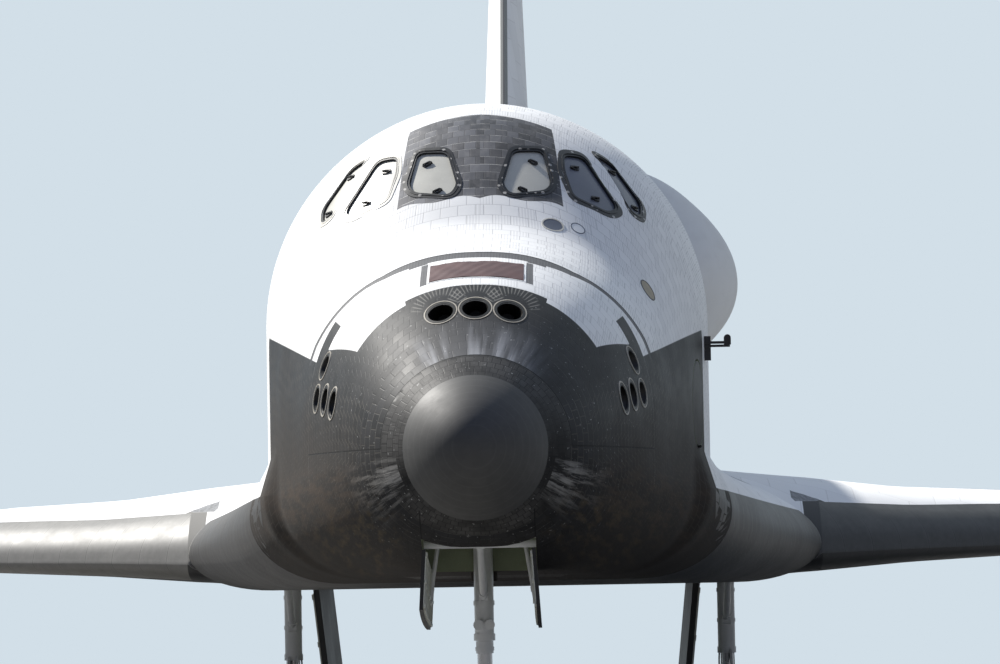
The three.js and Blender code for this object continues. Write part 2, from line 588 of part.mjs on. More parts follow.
const rudderAlong = new THREE.Vector2(RUDDER.highY - RUDDER.lowY, RUDDER.highZ - RUDDER.lowZ);
const rudderLength = rudderAlong.length();
const rudderUnit = rudderAlong.clone().normalize();
const rudderTaper = (RUDDER.highRadius - RUDDER.lowRadius) / rudderLength;
const rudderRadius = (s) => RUDDER.lowRadius + rudderTaper * s;
// A point s along the rudder hinge and d square to it, towards the tail
const rudderPoint = (s, d) => [
  RUDDER.lowY + rudderUnit.x * s + rudderUnit.y * d,
  RUDDER.lowZ + rudderUnit.y * s - rudderUnit.x * d,
];

function rudderZone(s0, s1, ahead, half0, half1) {
  return prismX([rudderPoint(s0, ahead(s0)), rudderPoint(s1, ahead(s1)), rudderPoint(s1, 9000), rudderPoint(s0, 9000)], half0, half1);
}
function rudderCone(s0, s1, extra) {
  const end = (s) => [0, ...rudderPoint(s, 0)];
  return bar(end(s0), end(s1), rudderRadius(s0) + extra, rudderRadius(s1) + extra, 28);
}

const finShape = finForm();
const SPINE_BACK = 60;
const rudderHole = rudderZone(-15, rudderLength + 15, (s) => -0.6 * rudderRadius(s), -FAR, FAR)
  .add(rudderCone(-15, rudderLength + 15, RUDDER.cove));
const rudderPin = (s, radius) => bar([0, ...rudderPoint(s - 80, 0)], [0, ...rudderPoint(s + 80, 0)], radius, radius, 20);
const fin = finShape.subtract(rudderHole).subtract(bodyClear)
  .subtract(block(-FAR, FAR, BASE - 5, FAR, -FAR, FIN.overhangZ))
  .subtract(block(-FAR, FAR, 0, BAY.rear + 25, 0, FAR))
  .add(rudderPin(-15, 50)).add(rudderPin(rudderLength + 15, 50));
const rudderSpine = rudderCone(0, rudderLength, 0)
  .intersect(rudderZone(-10, rudderLength + 10, () => -5000, -FAR, FAR)
    .subtract(rudderZone(-20, rudderLength + 20, () => SPINE_BACK, -FAR, FAR)))
  .intersect(finShape.add(rudderCone(0, rudderLength, 0)))
  .subtract(rudderPin(0, 51))
  .subtract(rudderPin(rudderLength, 51));
const rudderPanel = finShape.intersect(rudderZone(0, rudderLength, () => SPINE_BACK + GAP, 4, FAR));

// Landing gear
const AXLE_SIDES = 24;
const RUNNING_FIT = 1.011; // bore to axle, as many-sided rounds
const axleZ = (gear) => (gear.tyre - DATUM_HEIGHT - gear.y * Math.sin(NOSE_DOWN)) / Math.cos(NOSE_DOWN);

function twinWheels(gear) {
  const z = axleZ(gear);
  const wheel = (x) => {
    const half = gear.width / 2;
    const rim = gear.tyre * 0.52;
    const outline = [
      [-half * 0.55, 0], [-half * 0.55, rim * 0.9], [-half * 0.8, rim], [-half, gear.tyre * 0.78],
      [-half * 0.82, gear.tyre * 0.95], [-half * 0.45, gear.tyre], [half * 0.45, gear.tyre],
      [half * 0.82, gear.tyre * 0.95], [half, gear.tyre * 0.78], [half * 0.8, rim],
      [half * 0.55, rim * 0.9], [half * 0.55, 0],
    ];
    return turned(outline, [x, gear.y, z], [1, 0, 0], 20);
  };
  const half = gear.spacing / 2;
  return all([
    wheel(gear.x - half),
    wheel(gear.x + half),
    bar([gear.x - half, gear.y, z], [gear.x + half, gear.y, z], gear.axle, gear.axle, AXLE_SIDES),
  ]);
}

// The foot of a strut: a round housing that the axle turns in
function strutFoot(gear, radius, half) {
  const z = axleZ(gear);
  const housing = bar([gear.x - half, gear.y, z], [gear.x + half, gear.y, z], radius, radius, 16);
  const bore = bar([gear.x - 900, gear.y, z], [gear.x + 900, gear.y, z], gear.axle * RUNNING_FIT, gear.axle * RUNNING_FIT, AXLE_SIDES);
  return { housing, bore };
}

function mainStrut() {
  const { x, y } = MAIN_GEAR;
  const { housing, bore } = strutFoot(MAIN_GEAR, 165, 150);
  return all([
    housing,
    bar([x, y, axleZ(MAIN_GEAR)], [x, y, -800], 105),
    bar([x, y, -1150], [x, y, MAIN_WELL.roof - GAP], 150),
    bar([MAIN_WELL.inX + GAP, y, 650], [MAIN_WELL.outX - GAP, y, 650], 95),
    bar([x, y - 100, -620], [x, y - 2100, 690], 62),
    bar([x - 500, y - 2100, 690], [x + 500, y - 2100, 690], 70),
    bar([x - 100, y - 100, -950], [x - 100, y - 420, -1500], 40),
    bar([x - 100, y - 420, -1500], [x - 60, y - 60, axleZ(MAIN_GEAR) + 60], 40),
  ]).subtract(bore);
}

const NOSE_STRUT_END = -330;
function noseStrut() {
  const { y } = NOSE_GEAR;
  return all([
    bar([0, y, NOSE_STRUT_END], [0, y, NOSE_WELL.roof - GAP], 120),
    bar([-NOSE_WELL.half + GAP, y, 820], [NOSE_WELL.half - GAP, y, 820], 75),
    bar([0, y - 60, 150], [0, y - 1500, 760], 45),
    bar([-NOSE_WELL.half + GAP, y - 1500, 760], [NOSE_WELL.half - GAP, y - 1500, 760], 50),
  ]);
}
function noseLeg() {
  const { y } = NOSE_GEAR;
  const { housing, bore } = strutFoot(NOSE_GEAR, 125, 120);
  return all([housing, bar([0, y, axleZ(NOSE_GEAR)], [0, y, NOSE_STRUT_END - GAP], 88)]).subtract(bore);
}

// Open gear doors hang from the edge of their well
function hangingDoor(x, front, rear, drop, thickness, lean) {
  const edge = (y) => bodyRow(y).belly - 5;
  return loft(
    [front, rear].map((y) => [
      [x, y, edge(y)], [x + thickness, y, edge(y)],
      [x + thickness + lean, y, edge(y) - drop], [x + lean, y, edge(y) - drop],
    ]),
  );
}
const doorLink = (from, to) => bar(from, to, 28, 28, 12);
const noseDoor = all([
  hangingDoor(NOSE_WELL.half - 45, NOSE_WELL.front + 40, NOSE_WELL.rear - 40, 640, 40, 40),
  doorLink([NOSE_WELL.half - 30, 2900, 120], [NOSE_WELL.half - 200, 2900, NOSE_WELL.roof - 5]),
]);
const mainDoor = all([
  hangingDoor(MAIN_WELL.inX + 10, MAIN_WELL.front + 60, MAIN_WELL.rear - 60, 1600, 90, -170),
  doorLink([MAIN_WELL.inX + 60, 21400, -300], [MAIN_WELL.inX + 330, 21400, MAIN_WELL.roof - 6]),
]);

// Dark arm standing out from the port side behind the hatch, with a plate at its root
const SIDE_ARM = { front: 7540, rear: 7620, root: 2560, tip: 2972, low: 3062, split: 3090, top: 3132, plateLow: 2900, plateTop: 3195 };
function sideArm() {
  const { front, rear, root, tip, low, split, top, plateLow, plateTop } = SIDE_ARM;
  const beamGap = 12;
  const endLength = 84;
  const endRound = 40;
  return all([
    block(root, tip - beamGap, front, rear, split + beamGap, top),
    block(root, tip - beamGap, front, rear, low, split),
    block(tip - endLength, tip, front, rear, split, top + endRound),
    bar([tip - endLength / 2, front, top + endRound], [tip - endLength / 2, rear, top + endRound], endLength / 2),
    block(root, 2728, 7560, 7600, plateLow, plateTop),
  ]).subtract(bodyClear);
}

// Finishes: colour, roughness, metalness
const FINISH = {
  carbon: [0x6d6c69, 0.55, 0.1],
  blanket: [0xdedcd6, 0.9, 0],
  whiteTile: [0xd6d4cd, 0.75, 0],
  blackTile: [0x26272a, 0.6, 0],
  maroon: [0x6b4a3f, 0.8, 0],
  cover: [0xb9b2a5, 0.7, 0],
  metal: [0x9a9ca0, 0.35, 0.9],
  nozzle: [0x7c7a78, 0.45, 0.7],
  cabin: [0x8f9498, 0.7, 0],
  radiator: [0xc9ccd0, 0.25, 0.6],
  gear: [0xd8dade, 0.4, 0.3],
  tyre: [0x1d1d1e, 0.9, 0],
};

const airframe = new THREE.Group();
function piece(name, made, finish) {
  const mesh = made.getMesh();
  const geometry = new THREE.BufferGeometry()
    .setAttribute("position", new THREE.BufferAttribute(mesh.vertProperties, 3))
    .setIndex(new THREE.BufferAttribute(mesh.triVerts, 1))
    .toNonIndexed();
  geometry.computeVertexNormals();
  const [color, roughness, metalness] = FINISH[finish];
  const part = new THREE.Mesh(geometry, new THREE.MeshStandardMaterial({ color, roughness, metalness }));
  part.name = name;
  airframe.add(part);
}
function pair(name, made, finish) {
  piece(name + "_port", made, finish);
  piece(name + "_stbd", mirrored(made), finish);
}

piece("nose_cap", noseCap, "carbon");
piece("forward_thruster_module", thrusterModule(), "whiteTile");
piece("forward_fuselage", forwardFuselage, "whiteTile");
for (const [name, cover] of windowCovers) pair("window_cover_" + name, cover, "cover");
piece("side_hatch", sideHatch, "whiteTile");
piece("cabin_interior", cabinFurniture(), "cabin");
piece("side_arm", sideArm(), "metal");
piece("mid_fuselage", midFuselage, "blanket");
pair("payload_door", doorShell, "blanket");
pair("radiator", radiatorShell, "radiator");
piece("aft_fuselage", aftFuselage, "blanket");
pair("umbilical_door", umbilicalDoor, "blackTile");
piece("body_flap", bodyFlap, "blackTile");
for (const row of MAIN_ENGINES) piece(row[0], engine(row), "nozzle");
pair("engine_pod", pod(), "blanket");
pair("pod_nozzle", podNozzle(), "nozzle");
pair("wing", wing, "blanket");
pair("wing_leading_edge", leadingEdge, "carbon");
pair("elevon_inner", elevonInner, "blanket");
pair("elevon_outer", elevonOuter, "blanket");
piece("vertical_fin", fin, "blanket");
piece("rudder_spine", rudderSpine, "metal");
pair("rudder_panel", rudderPanel, "blanket");
piece("nose_gear_strut", noseStrut(), "gear");
piece("nose_gear_leg", noseLeg(), "gear");
piece("nose_wheels", twinWheels(NOSE_GEAR), "tyre");
pair("nose_gear_door", noseDoor, "blackTile");
pair("main_gear_strut", mainStrut(), "gear");
pair("main_wheels", twinWheels(MAIN_GEAR), "tyre");
pair("main_gear_door", mainDoor, "blackTile");

// The parked stance: pitched nose down, wheels on the ground, centred over the origin
airframe.rotation.x = NOSE_DOWN;
const orbiter = new THREE.Group();
orbiter.add(airframe);
orbiter.updateMatrixWorld(true);
const extent = new THREE.Box3().setFromObject(orbiter, true);
airframe.position.set(0, -(extent.min.y + extent.max.y) / 2, -extent.min.z);

export default orbiter;
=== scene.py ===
import math

import bpy
import numpy as np
from mathutils import Matrix, Vector


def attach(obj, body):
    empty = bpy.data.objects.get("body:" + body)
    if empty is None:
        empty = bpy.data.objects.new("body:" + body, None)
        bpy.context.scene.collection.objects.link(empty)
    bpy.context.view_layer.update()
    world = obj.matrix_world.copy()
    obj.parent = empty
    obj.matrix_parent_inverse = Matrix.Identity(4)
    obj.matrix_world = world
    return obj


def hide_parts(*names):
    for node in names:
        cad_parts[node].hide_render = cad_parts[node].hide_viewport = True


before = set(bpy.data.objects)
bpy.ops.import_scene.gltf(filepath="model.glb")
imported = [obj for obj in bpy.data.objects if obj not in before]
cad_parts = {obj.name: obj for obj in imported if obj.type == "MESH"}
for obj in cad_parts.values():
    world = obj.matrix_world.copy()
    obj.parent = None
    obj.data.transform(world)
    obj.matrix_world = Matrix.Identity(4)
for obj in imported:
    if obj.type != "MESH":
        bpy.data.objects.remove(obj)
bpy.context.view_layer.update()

# Body axes are in millimetres: x to port, y aft of the nose tip, z up from the datum.
# The parked stance pitches them nose down and lifts them onto the wheels, in metres.
NOSE_DOWN = math.radians(3)
NOSE_TIP = np.array([0.0, -18.19534, 1.349143])
TURN = np.array([
    [1, 0, 0],
    [0, math.cos(NOSE_DOWN), -math.sin(NOSE_DOWN)],
    [0, math.sin(NOSE_DOWN), math.cos(NOSE_DOWN)],
])
NOSE_AXIS = 1770  # height of the nose cap's axis
CAP_END = 610  # station where the nose cap ends
ROUND_NOSE_END = 1395  # ahead of it the skin's flat coordinates turn round the nose axis
SKIN = 120  # thickness of the body's shell
INSIDE_SKIN = 14  # faces deeper than this below the skin have the inner finish
GAP = 0.3  # what keeps two pieces apart that lie against each other
FAR = 60000  # farther out than any piece
SIDES = (("port", 1), ("stbd", -1))


def placed(points):
    return (np.asarray(points, float) * 0.001) @ TURN.T + NOSE_TIP


def body_points(points):
    return (np.asarray(points, float) - NOSE_TIP) @ TURN * 1000


# ---- Section table of the body, one row a station. Its columns: y, half widths of the wall, the chine and
# the flat bottom, heights of the belly, chine, glove, shoulder and crown, power of the crown's curve, and the
# glove's bulge, from 0 for a straight slope to 1 for a quarter ellipse.
BODY_ROWS = np.array([
    [610, 765, 765, 15, 1005, 1770, 1779, 1781, 2535, 2.0, 0],
    [965, 1010, 1010, 75, 850, 1740, 1765, 1790, 2755, 2.0, 0],
    [1395, 1230, 1230, 180, 710, 1700, 1765, 1830, 3050, 2.05, 0],
    [1820, 1400, 1400, 280, 620, 1665, 1770, 1880, 3315, 2.1, 0],
    [2665, 1670, 1670, 455, 520, 1600, 1780, 1955, 3695, 2.2, 0],
    [3735, 1940, 1940, 685, 445, 1525, 1790, 2045, 4025, 2.25, 0],
    [5055, 2220, 2220, 990, 390, 1420, 1840, 2260, 4420, 2.15, 0],
    [5460, 2305, 2305, 1090, 375, 1395, 1870, 2360, 4750, 2.05, 0],
    [5920, 2395, 2395, 1205, 360, 1370, 1900, 2490, 5180, 2.0, 0],
    [6350, 2465, 2465, 1320, 345, 1360, 1900, 2615, 5565, 2.0, 0],
    [6730, 2525, 2665, 1420, 330, 1345, 1850, 2770, 5805, 2.0, 0],
    [7240, 2605, 2750, 1525, 315, 1320, 1800, 3025, 5995, 2.0, 0],
    [7875, 2680, 2845, 1650, 290, 1200, 1760, 3250, 6110, 2.0, 0.25],
    [8815, 2735, 2995, 1830, 260, 1090, 1735, 3430, 6160, 2.0, 0.5],
    [11810, 2735, 3470, 2465, 160, 890, 1745, 3430, 6160, 2.0, 0.65],
    [20040, 2735, 4775, 3500, 25, 600, 1785, 3430, 6160, 2.0, 0.65],
])
GLOVE_END = 20050  # the wing takes over from the glove here
REAR_ROWS = np.array([
    [20060, 2735, 2735, 2690, 25, 70, 1000, 3430, 6160, 2.0, 0],
    [27230, 2735, 2735, 2690, 65, 110, 1000, 3430, 6160, 2.0, 0],
    [29260, 2735, 2735, 2690, 125, 170, 1000, 3430, 6120, 2.0, 0],
    [32300, 2735, 2735, 2690, 275, 320, 1000, 3430, 6020, 2.0, 0],
    [32765, 2735, 2735, 2690, 295, 340, 1000, 3430, 6000, 2.0, 0],
])


def smooth_lookup(table, at):
    """Values of a table at new stations, on a smooth curve that keeps each rise and fall."""
    x = table[:, 0]
    v = table[:, 1:]
    h = np.diff(x)[:, None]
    d = np.diff(v, axis=0) / h
    m = np.zeros_like(v)
    m[0], m[-1] = d[0], d[-1]
    same = d[:-1] * d[1:] > 0
    w1, w2 = 2 * h[1:] + h[:-1], h[1:] + 2 * h[:-1]
    with np.errstate(divide="ignore", invalid="ignore"):
        m[1:-1] = np.where(same, (w1 + w2) / (w1 / d[:-1] + w2 / d[1:]), 0)
    at = np.clip(np.atleast_1d(np.asarray(at, float)), x[0], x[-1])
    i = np.clip(np.searchsorted(x, at, side="right") - 1, 0, len(x) - 2)
    t = ((at - x[i]) / (x[i + 1] - x[i]))[:, None]
    hh = h[i]
    return ((2 * t**3 - 3 * t**2 + 1) * v[i] + (t**3 - 2 * t**2 + t) * hh * m[i]
            + (3 * t**2 - 2 * t**3) * v[i + 1] + (t**3 - t**2) * hh * m[i + 1])


CAP_CURVE = (1077.3, 0.1933)  # the nose cap's radius squared is a * y - b * y squared


def body_row(y):
    """Section values at each station: the ten columns after y."""
    y = np.atleast_1d(np.asarray(y, float))
    rows = np.where((y > GLOVE_END)[:, None], smooth_lookup(REAR_ROWS, y), smooth_lookup(BODY_ROWS, y))
    r = np.sqrt(np.maximum(CAP_CURVE[0] * y - CAP_CURVE[1] * y * y, 1.0))
    nose = np.stack([r, r, r * 0.02, NOSE_AXIS - r, r * 0 + NOSE_AXIS, NOSE_AXIS + r * 0.012,
                     NOSE_AXIS + r * 0.015, NOSE_AXIS + r, r * 0 + 2, r * 0 + 1], axis=1)
    return np.where((y < CAP_END)[:, None], nose, rows)


RING_STEPS = {"belly": 6, "chine": 12, "glove": 12, "wall": 5, "crown": 40}


def body_rings(stations, inset=0.0, steps=RING_STEPS):
    """Closed rings round the body, from the keel up the port side, over the crown and down again."""
    columns = body_row(stations).T[:, :, None]
    wall, chine, flat, belly, chine_z, glove_z, shoulder_z, crown, power, bulge = columns
    wall, chine, belly, crown = wall - inset, chine - inset, belly + inset, crown - inset
    span = lambda n, ends=(0, 1): np.linspace(*ends, n, endpoint=False)[None, :]
    a = span(steps["belly"])
    b = span(steps["chine"]) * math.pi / 2
    c = 1 - np.cos(span(steps["glove"]) * math.pi / 2)
    glove_rise = (1 - bulge) * c + bulge * np.sqrt(1 - (1 - c) ** 2)
    d = span(steps["wall"])
    e = np.linspace(0, 1, steps["crown"] + 1)[None, :] * math.pi / 2
    co, si = np.clip(np.cos(e), 0, 1), np.sin(e)
    x = np.concatenate([flat * a, flat + (chine - flat) * np.sin(b), chine + (wall - chine) * c,
                        wall + 0 * d, wall * co ** (2 / power)], axis=1)
    z = np.concatenate([belly + 0 * a, chine_z - (chine_z - belly) * np.cos(b),
                        chine_z + (glove_z - chine_z) * glove_rise,
                        glove_z + (shoulder_z - glove_z) * d,
                        shoulder_z + (crown - shoulder_z) * si ** (2 / power)],
                       axis=1)
    x[:, 0] = 0
    x[:, -1] = 0
    x = np.concatenate([x, -x[:, -2:0:-1]], axis=1)
    z = np.concatenate([z, z[:, -2:0:-1]], axis=1)
    y = np.repeat(np.asarray(stations, float)[:, None], x.shape[1], axis=1)
    return np.stack([x, y, z], axis=2)


def skin_distance(points):
    """How far each point lies outside the body skin, about, in millimetres."""
    x, y, z = np.abs(points[:, 0]), points[:, 1], points[:, 2]
    wall, chine, flat, belly, chine_z, glove_z, shoulder_z, crown, power, bulge = body_row(y).T
    up = np.maximum(z - shoulder_z, 0)
    r = ((x / wall) ** power + (up / (crown - shoulder_z)) ** power) ** (1 / power)
    over = (r - 1) * np.hypot(x, up) / np.maximum(r, 1e-6)
    side = x - wall
    rise = np.clip((z - chine_z) / (glove_z - chine_z), 0, 1)
    spread, lead = bulge**2 + (1 - bulge) ** 2, (rise - 1 + bulge) * (1 - bulge)
    under_root = lead**2 - spread * ((rise - 1 + bulge) ** 2 - bulge**2)
    outward = (np.sqrt(np.maximum(under_root, 0)) - lead) / spread
    glove = x - (wall + (chine - wall) * outward)
    q = np.hypot(np.maximum(x - flat, 0) / (chine - flat), np.maximum(chine_z - z, 0) / (chine_z - belly))
    under = np.where(x < flat, belly - z, (q - 1) * np.minimum(chine - flat, chine_z - belly))
    return np.where(z > shoulder_z, over, np.where(z > glove_z, side, np.where(z > chine_z, glove, under)))


def onto_skin(points, direction, lift=0.0, reach=1500):
    """Moves points along a direction that leaves the body until they lie on its skin."""
    points = np.asarray(points, float)
    out = np.asarray(direction, float) / np.linalg.norm(direction)
    steps = np.linspace(reach, -reach, 121)
    far = np.full(len(points), -reach, float)
    found = np.zeros(len(points), bool)
    for step in steps:
        inside = (skin_distance(points + out * step) <= 0) & ~found
        far[inside] = step
        found |= inside
    near = far + (steps[0] - steps[1])
    for _ in range(16):
        middle = (near + far) / 2
        inside = skin_distance(points + out * middle[:, None]) <= 0
        far = np.where(inside, middle, far)
        near = np.where(inside, near, middle)
    return points + out * (far + lift)[:, None]


def skin_map(points, guide):
    """Flat coordinates on the skin in metres: round the section from the crown or keel, and along the body.
    guide is a point inside each point's own face; it says which side and which zone the face is in."""
    x, y, z = np.abs(points[:, 0]), points[:, 1], points[:, 2]
    wall, chine, flat, belly, chine_z, glove_z, shoulder_z, crown, power, bulge = body_row(y).T
    quarter = lambda a, b: math.pi / 4 * (3 * (a + b) - np.sqrt((3 * a + b) * (a + 3 * b))) 
    crown_length = quarter(wall, crown - shoulder_z)
    up = np.arctan2(np.maximum(z - shoulder_z, 0) / (crown - shoulder_z),
                    np.maximum(x, 1e-3) / wall) / (math.pi / 2)
    from_crown = np.where(z > shoulder_z, (1 - up) * crown_length, crown_length + shoulder_z - z)
    chine_length = quarter(chine - flat, chine_z - belly)
    turn = np.arctan2(np.maximum(x - flat, 0) / (chine - flat),
                      np.maximum(chine_z - z, 1e-3) / (chine_z - belly)) / (math.pi / 2)
    from_keel = np.where(x < flat, x, np.where(z < chine_z, flat + turn * chine_length,
                                               flat + chine_length + np.hypot(z - chine_z, x - chine)))
    side = np.where(guide[:, 0] < 0, -1, 1)
    girth = np.where(guide[:, 2] > glove_z, from_crown + 2000, from_keel) * side
    angle = np.arctan2(x, z - NOSE_AXIS) * 1000 * side
    along = y + (crown - 2535) * 0.45
    return np.stack([np.where(guide[:, 1] < ROUND_NOSE_END, angle, girth), along], axis=1) * 0.001


# ---- Mesh helpers
def new_object(name, mesh):
    made = bpy.data.objects.new(name, mesh)
    bpy.context.scene.collection.objects.link(made)
    return made


def solid(name, points, faces):
    """A mesh from body-axis points, with its faces turned outwards."""
    mesh = bpy.data.meshes.new(name)
    mesh.from_pydata(placed(points).tolist(), [], [list(f) for f in faces])
    mesh.update()
    made = new_object(name, mesh)
    flip_if_inside_out(made)
    return made


def read_all(items, name, width=1, kind=float):
    """One property of all of a mesh's vertices, corners or faces."""
    values = np.empty(len(items) * width, kind)
    items.foreach_get(name, values)
    return values.reshape(-1, width) if width > 1 else values


def flip_if_inside_out(made):
    mesh = made.data
    mesh.calc_loop_triangles()
    corners = read_all(mesh.vertices, "co", 3)[read_all(mesh.loop_triangles, "vertices", 3, int)]
    a, b, c = corners.transpose(1, 0, 2)
    if np.einsum("ij,ij->", a, np.cross(b, c)) < 0:
        mesh.flip_normals()


def loft(name, rings, open_ends=False):
    """Skin over rings of equal length, closed round and capped at both ends."""
    rings = np.asarray(rings, float)
    m, n = rings.shape[:2]
    points = rings.reshape(-1, 3)
    i, j = np.meshgrid(np.arange(m - 1), np.arange(n), indexing="ij")
    k = (j + 1) % n
    faces = np.stack([i * n + j, i * n + k, (i + 1) * n + k, (i + 1) * n + j], axis=2).reshape(-1, 4).tolist()
    if not open_ends:
        points = np.concatenate([points, rings[[0, -1]].mean(axis=1)])
        for end, centre in ((0, m * n), (m - 1, m * n + 1)):
            for j in range(n):
                pair = [end * n + j, end * n + (j + 1) % n]
                faces.append([centre, *(pair[::-1] if end == 0 else pair)])
    return solid(name, points, faces)


def unit(v):
    v = np.asarray(v, float)
    return v / np.linalg.norm(v)


def square_to(direction):
    """Two directions square to one."""
    d = unit(direction)
    side = unit(np.cross(d, [0, 0, 1] if abs(d[2]) < 0.9 else [0, 1, 0]))
    return side, np.cross(side, d)


def turned(name, outline, start, direction, sides=64):
    """A turned solid from rows of distance and radius; the first and last rows close on the axis."""
    d = unit(direction)
    u, v = square_to(d)
    angle = np.linspace(0, 2 * math.pi, sides, endpoint=False)
    around = np.cos(angle)[:, None] * u + np.sin(angle)[:, None] * v
    rings = [np.asarray(start) + d * at + around * max(radius, 0.0) for at, radius in outline]
    return loft(name, rings)


def tube(name, start, end, radius, end_radius=None, sides=32):
    length = np.linalg.norm(np.subtract(end, start))
    return turned(name, [(0, radius), (length, radius if end_radius is None else end_radius)],
                  start, np.subtract(end, start), sides)


def rod(name, path, radius, sides=16):
    """A round rod along a path of points."""
    path = np.asarray(path, float)
    along = np.gradient(path, axis=0)
    rings = []
    for point, way in zip(path, along):
        u, v = square_to(way)
        angle = np.linspace(0, 2 * math.pi, sides, endpoint=False)
        rings.append(point + (np.cos(angle)[:, None] * u + np.sin(angle)[:, None] * v) * radius)
    return loft(name, rings)


def smooth_path(points, steps=8):
    """A curve through a few points."""
    p = np.asarray(points, float)
    p = np.concatenate([[2 * p[0] - p[1]], p, [2 * p[-1] - p[-2]]])
    made = []
    for a, b, c, d in zip(p, p[1:], p[2:], p[3:]):
        for t in np.linspace(0, 1, steps, endpoint=False):
            square, cube = 2 * a - 5 * b + 4 * c - d, 3 * b - a - 3 * c + d
            made.append(0.5 * (2 * b + (c - a) * t + square * t**2 + cube * t**3))
    return np.array([*made, p[-2]])


def block(name, x0, x1, y0, y1, z0, z1):
    corners = lambda x: [[x, y0, z0], [x, y1, z0], [x, y1, z1], [x, y0, z1]]
    return loft(name, [corners(x0), corners(x1)])


def prism(name, outline, axis, low, high):
    """A straight prism: an outline of two coordinates, between two values of the third."""
    ring = lambda at: [np.insert(np.asarray(p, float), axis, at) for p in outline]
    return loft(name, [ring(low), ring(high)])


def combine(target, tools, how="DIFFERENCE"):
    """Cuts, adds or keeps what is shared, one tool after another; the tools are used up."""
    for tool in tools if isinstance(tools, (list, tuple)) else [tools]:
        step = target.modifiers.new("step", "BOOLEAN")
        step.operation = how
        step.solver = "MANIFOLD"
        step.object = tool
        shaped = bpy.data.meshes.new_from_object(target.evaluated_get(bpy.context.evaluated_depsgraph_get()))
        target.modifiers.clear()
        old = target.data
        target.data = shaped
        bpy.data.meshes.remove(old)
        bpy.data.objects.remove(tool)
    return target


def join(name, parts):
    """One object from several; they keep their own materials and face slots."""
    points, faces, slots, materials = [], [], [], []
    for part in parts:
        first = len(points)
        local = {}
        for i, material in enumerate(part.data.materials):
            if material not in materials:
                materials.append(material)
            local[i] = materials.index(material)
        points += [v.co[:] for v in part.data.vertices]
        for f in part.data.polygons:
            faces.append([first + v for v in f.vertices])
            slots.append(local.get(f.material_index, 0))
        bpy.data.objects.remove(part)
    mesh = bpy.data.meshes.new(name)
    mesh.from_pydata(points, [], faces)
    for material in materials:
        mesh.materials.append(material)
    mesh.polygons.foreach_set("material_index", slots)
    mesh.update()
    return new_object(name, mesh)


def corners_rounded(outline, radius, steps=6):
    """A closed outline with each corner turned on a curve that starts a radius away from it."""
    points = np.asarray(outline, float)
    made = []
    for before, corner, after in zip(np.roll(points, 1, axis=0), points, np.roll(points, -1, axis=0)):
        ends = []
        for other in (before, after):
            way = other - corner
            length = np.linalg.norm(way)
            ends.append(corner + way / length * min(radius, length * 0.45))
        for t in np.linspace(0, 1, steps):
            made.append(ends[0] * (1 - t) ** 2 + corner * 2 * t * (1 - t) + ends[1] * t ** 2)
    return np.array(made)


def plate(name, outline, outer_face, inner_face, hole=0.0, rings=5):
    """A closed plate between two faces, filled towards its middle, or a ring if it has a hole.
    outline is in the plate's plane; the faces are functions that place plane points."""
    outline = np.asarray(outline, float)
    centre = outline.mean(axis=0)
    shares = np.linspace(1, hole, rings + 1) if hole else np.linspace(1, 0, rings + 1)[:-1]
    layers = [centre + (outline - centre) * s for s in shares]
    n, m = len(outline), len(layers)
    flat = np.concatenate(layers if hole else [*layers, [centre]])
    top, bottom = outer_face(flat), inner_face(flat)
    count = len(flat)
    faces = []
    for i in range(m - 1):
        for j in range(n):
            k = (j + 1) % n
            quad = [i * n + j, i * n + k, (i + 1) * n + k, (i + 1) * n + j]
            faces += [quad, [count + v for v in quad[::-1]]]
    for j in range(n):
        k = (j + 1) % n
        faces.append([j, count + j, count + k, k])
        last = (m - 1) * n
        if hole:
            faces.append([last + j, last + k, count + last + k, count + last + j])
        else:
            faces += [[last + j, last + k, count - 1], [count + last + k, count + last + j, 2 * count - 1]]
    return solid(name, np.concatenate([top, bottom]), faces)


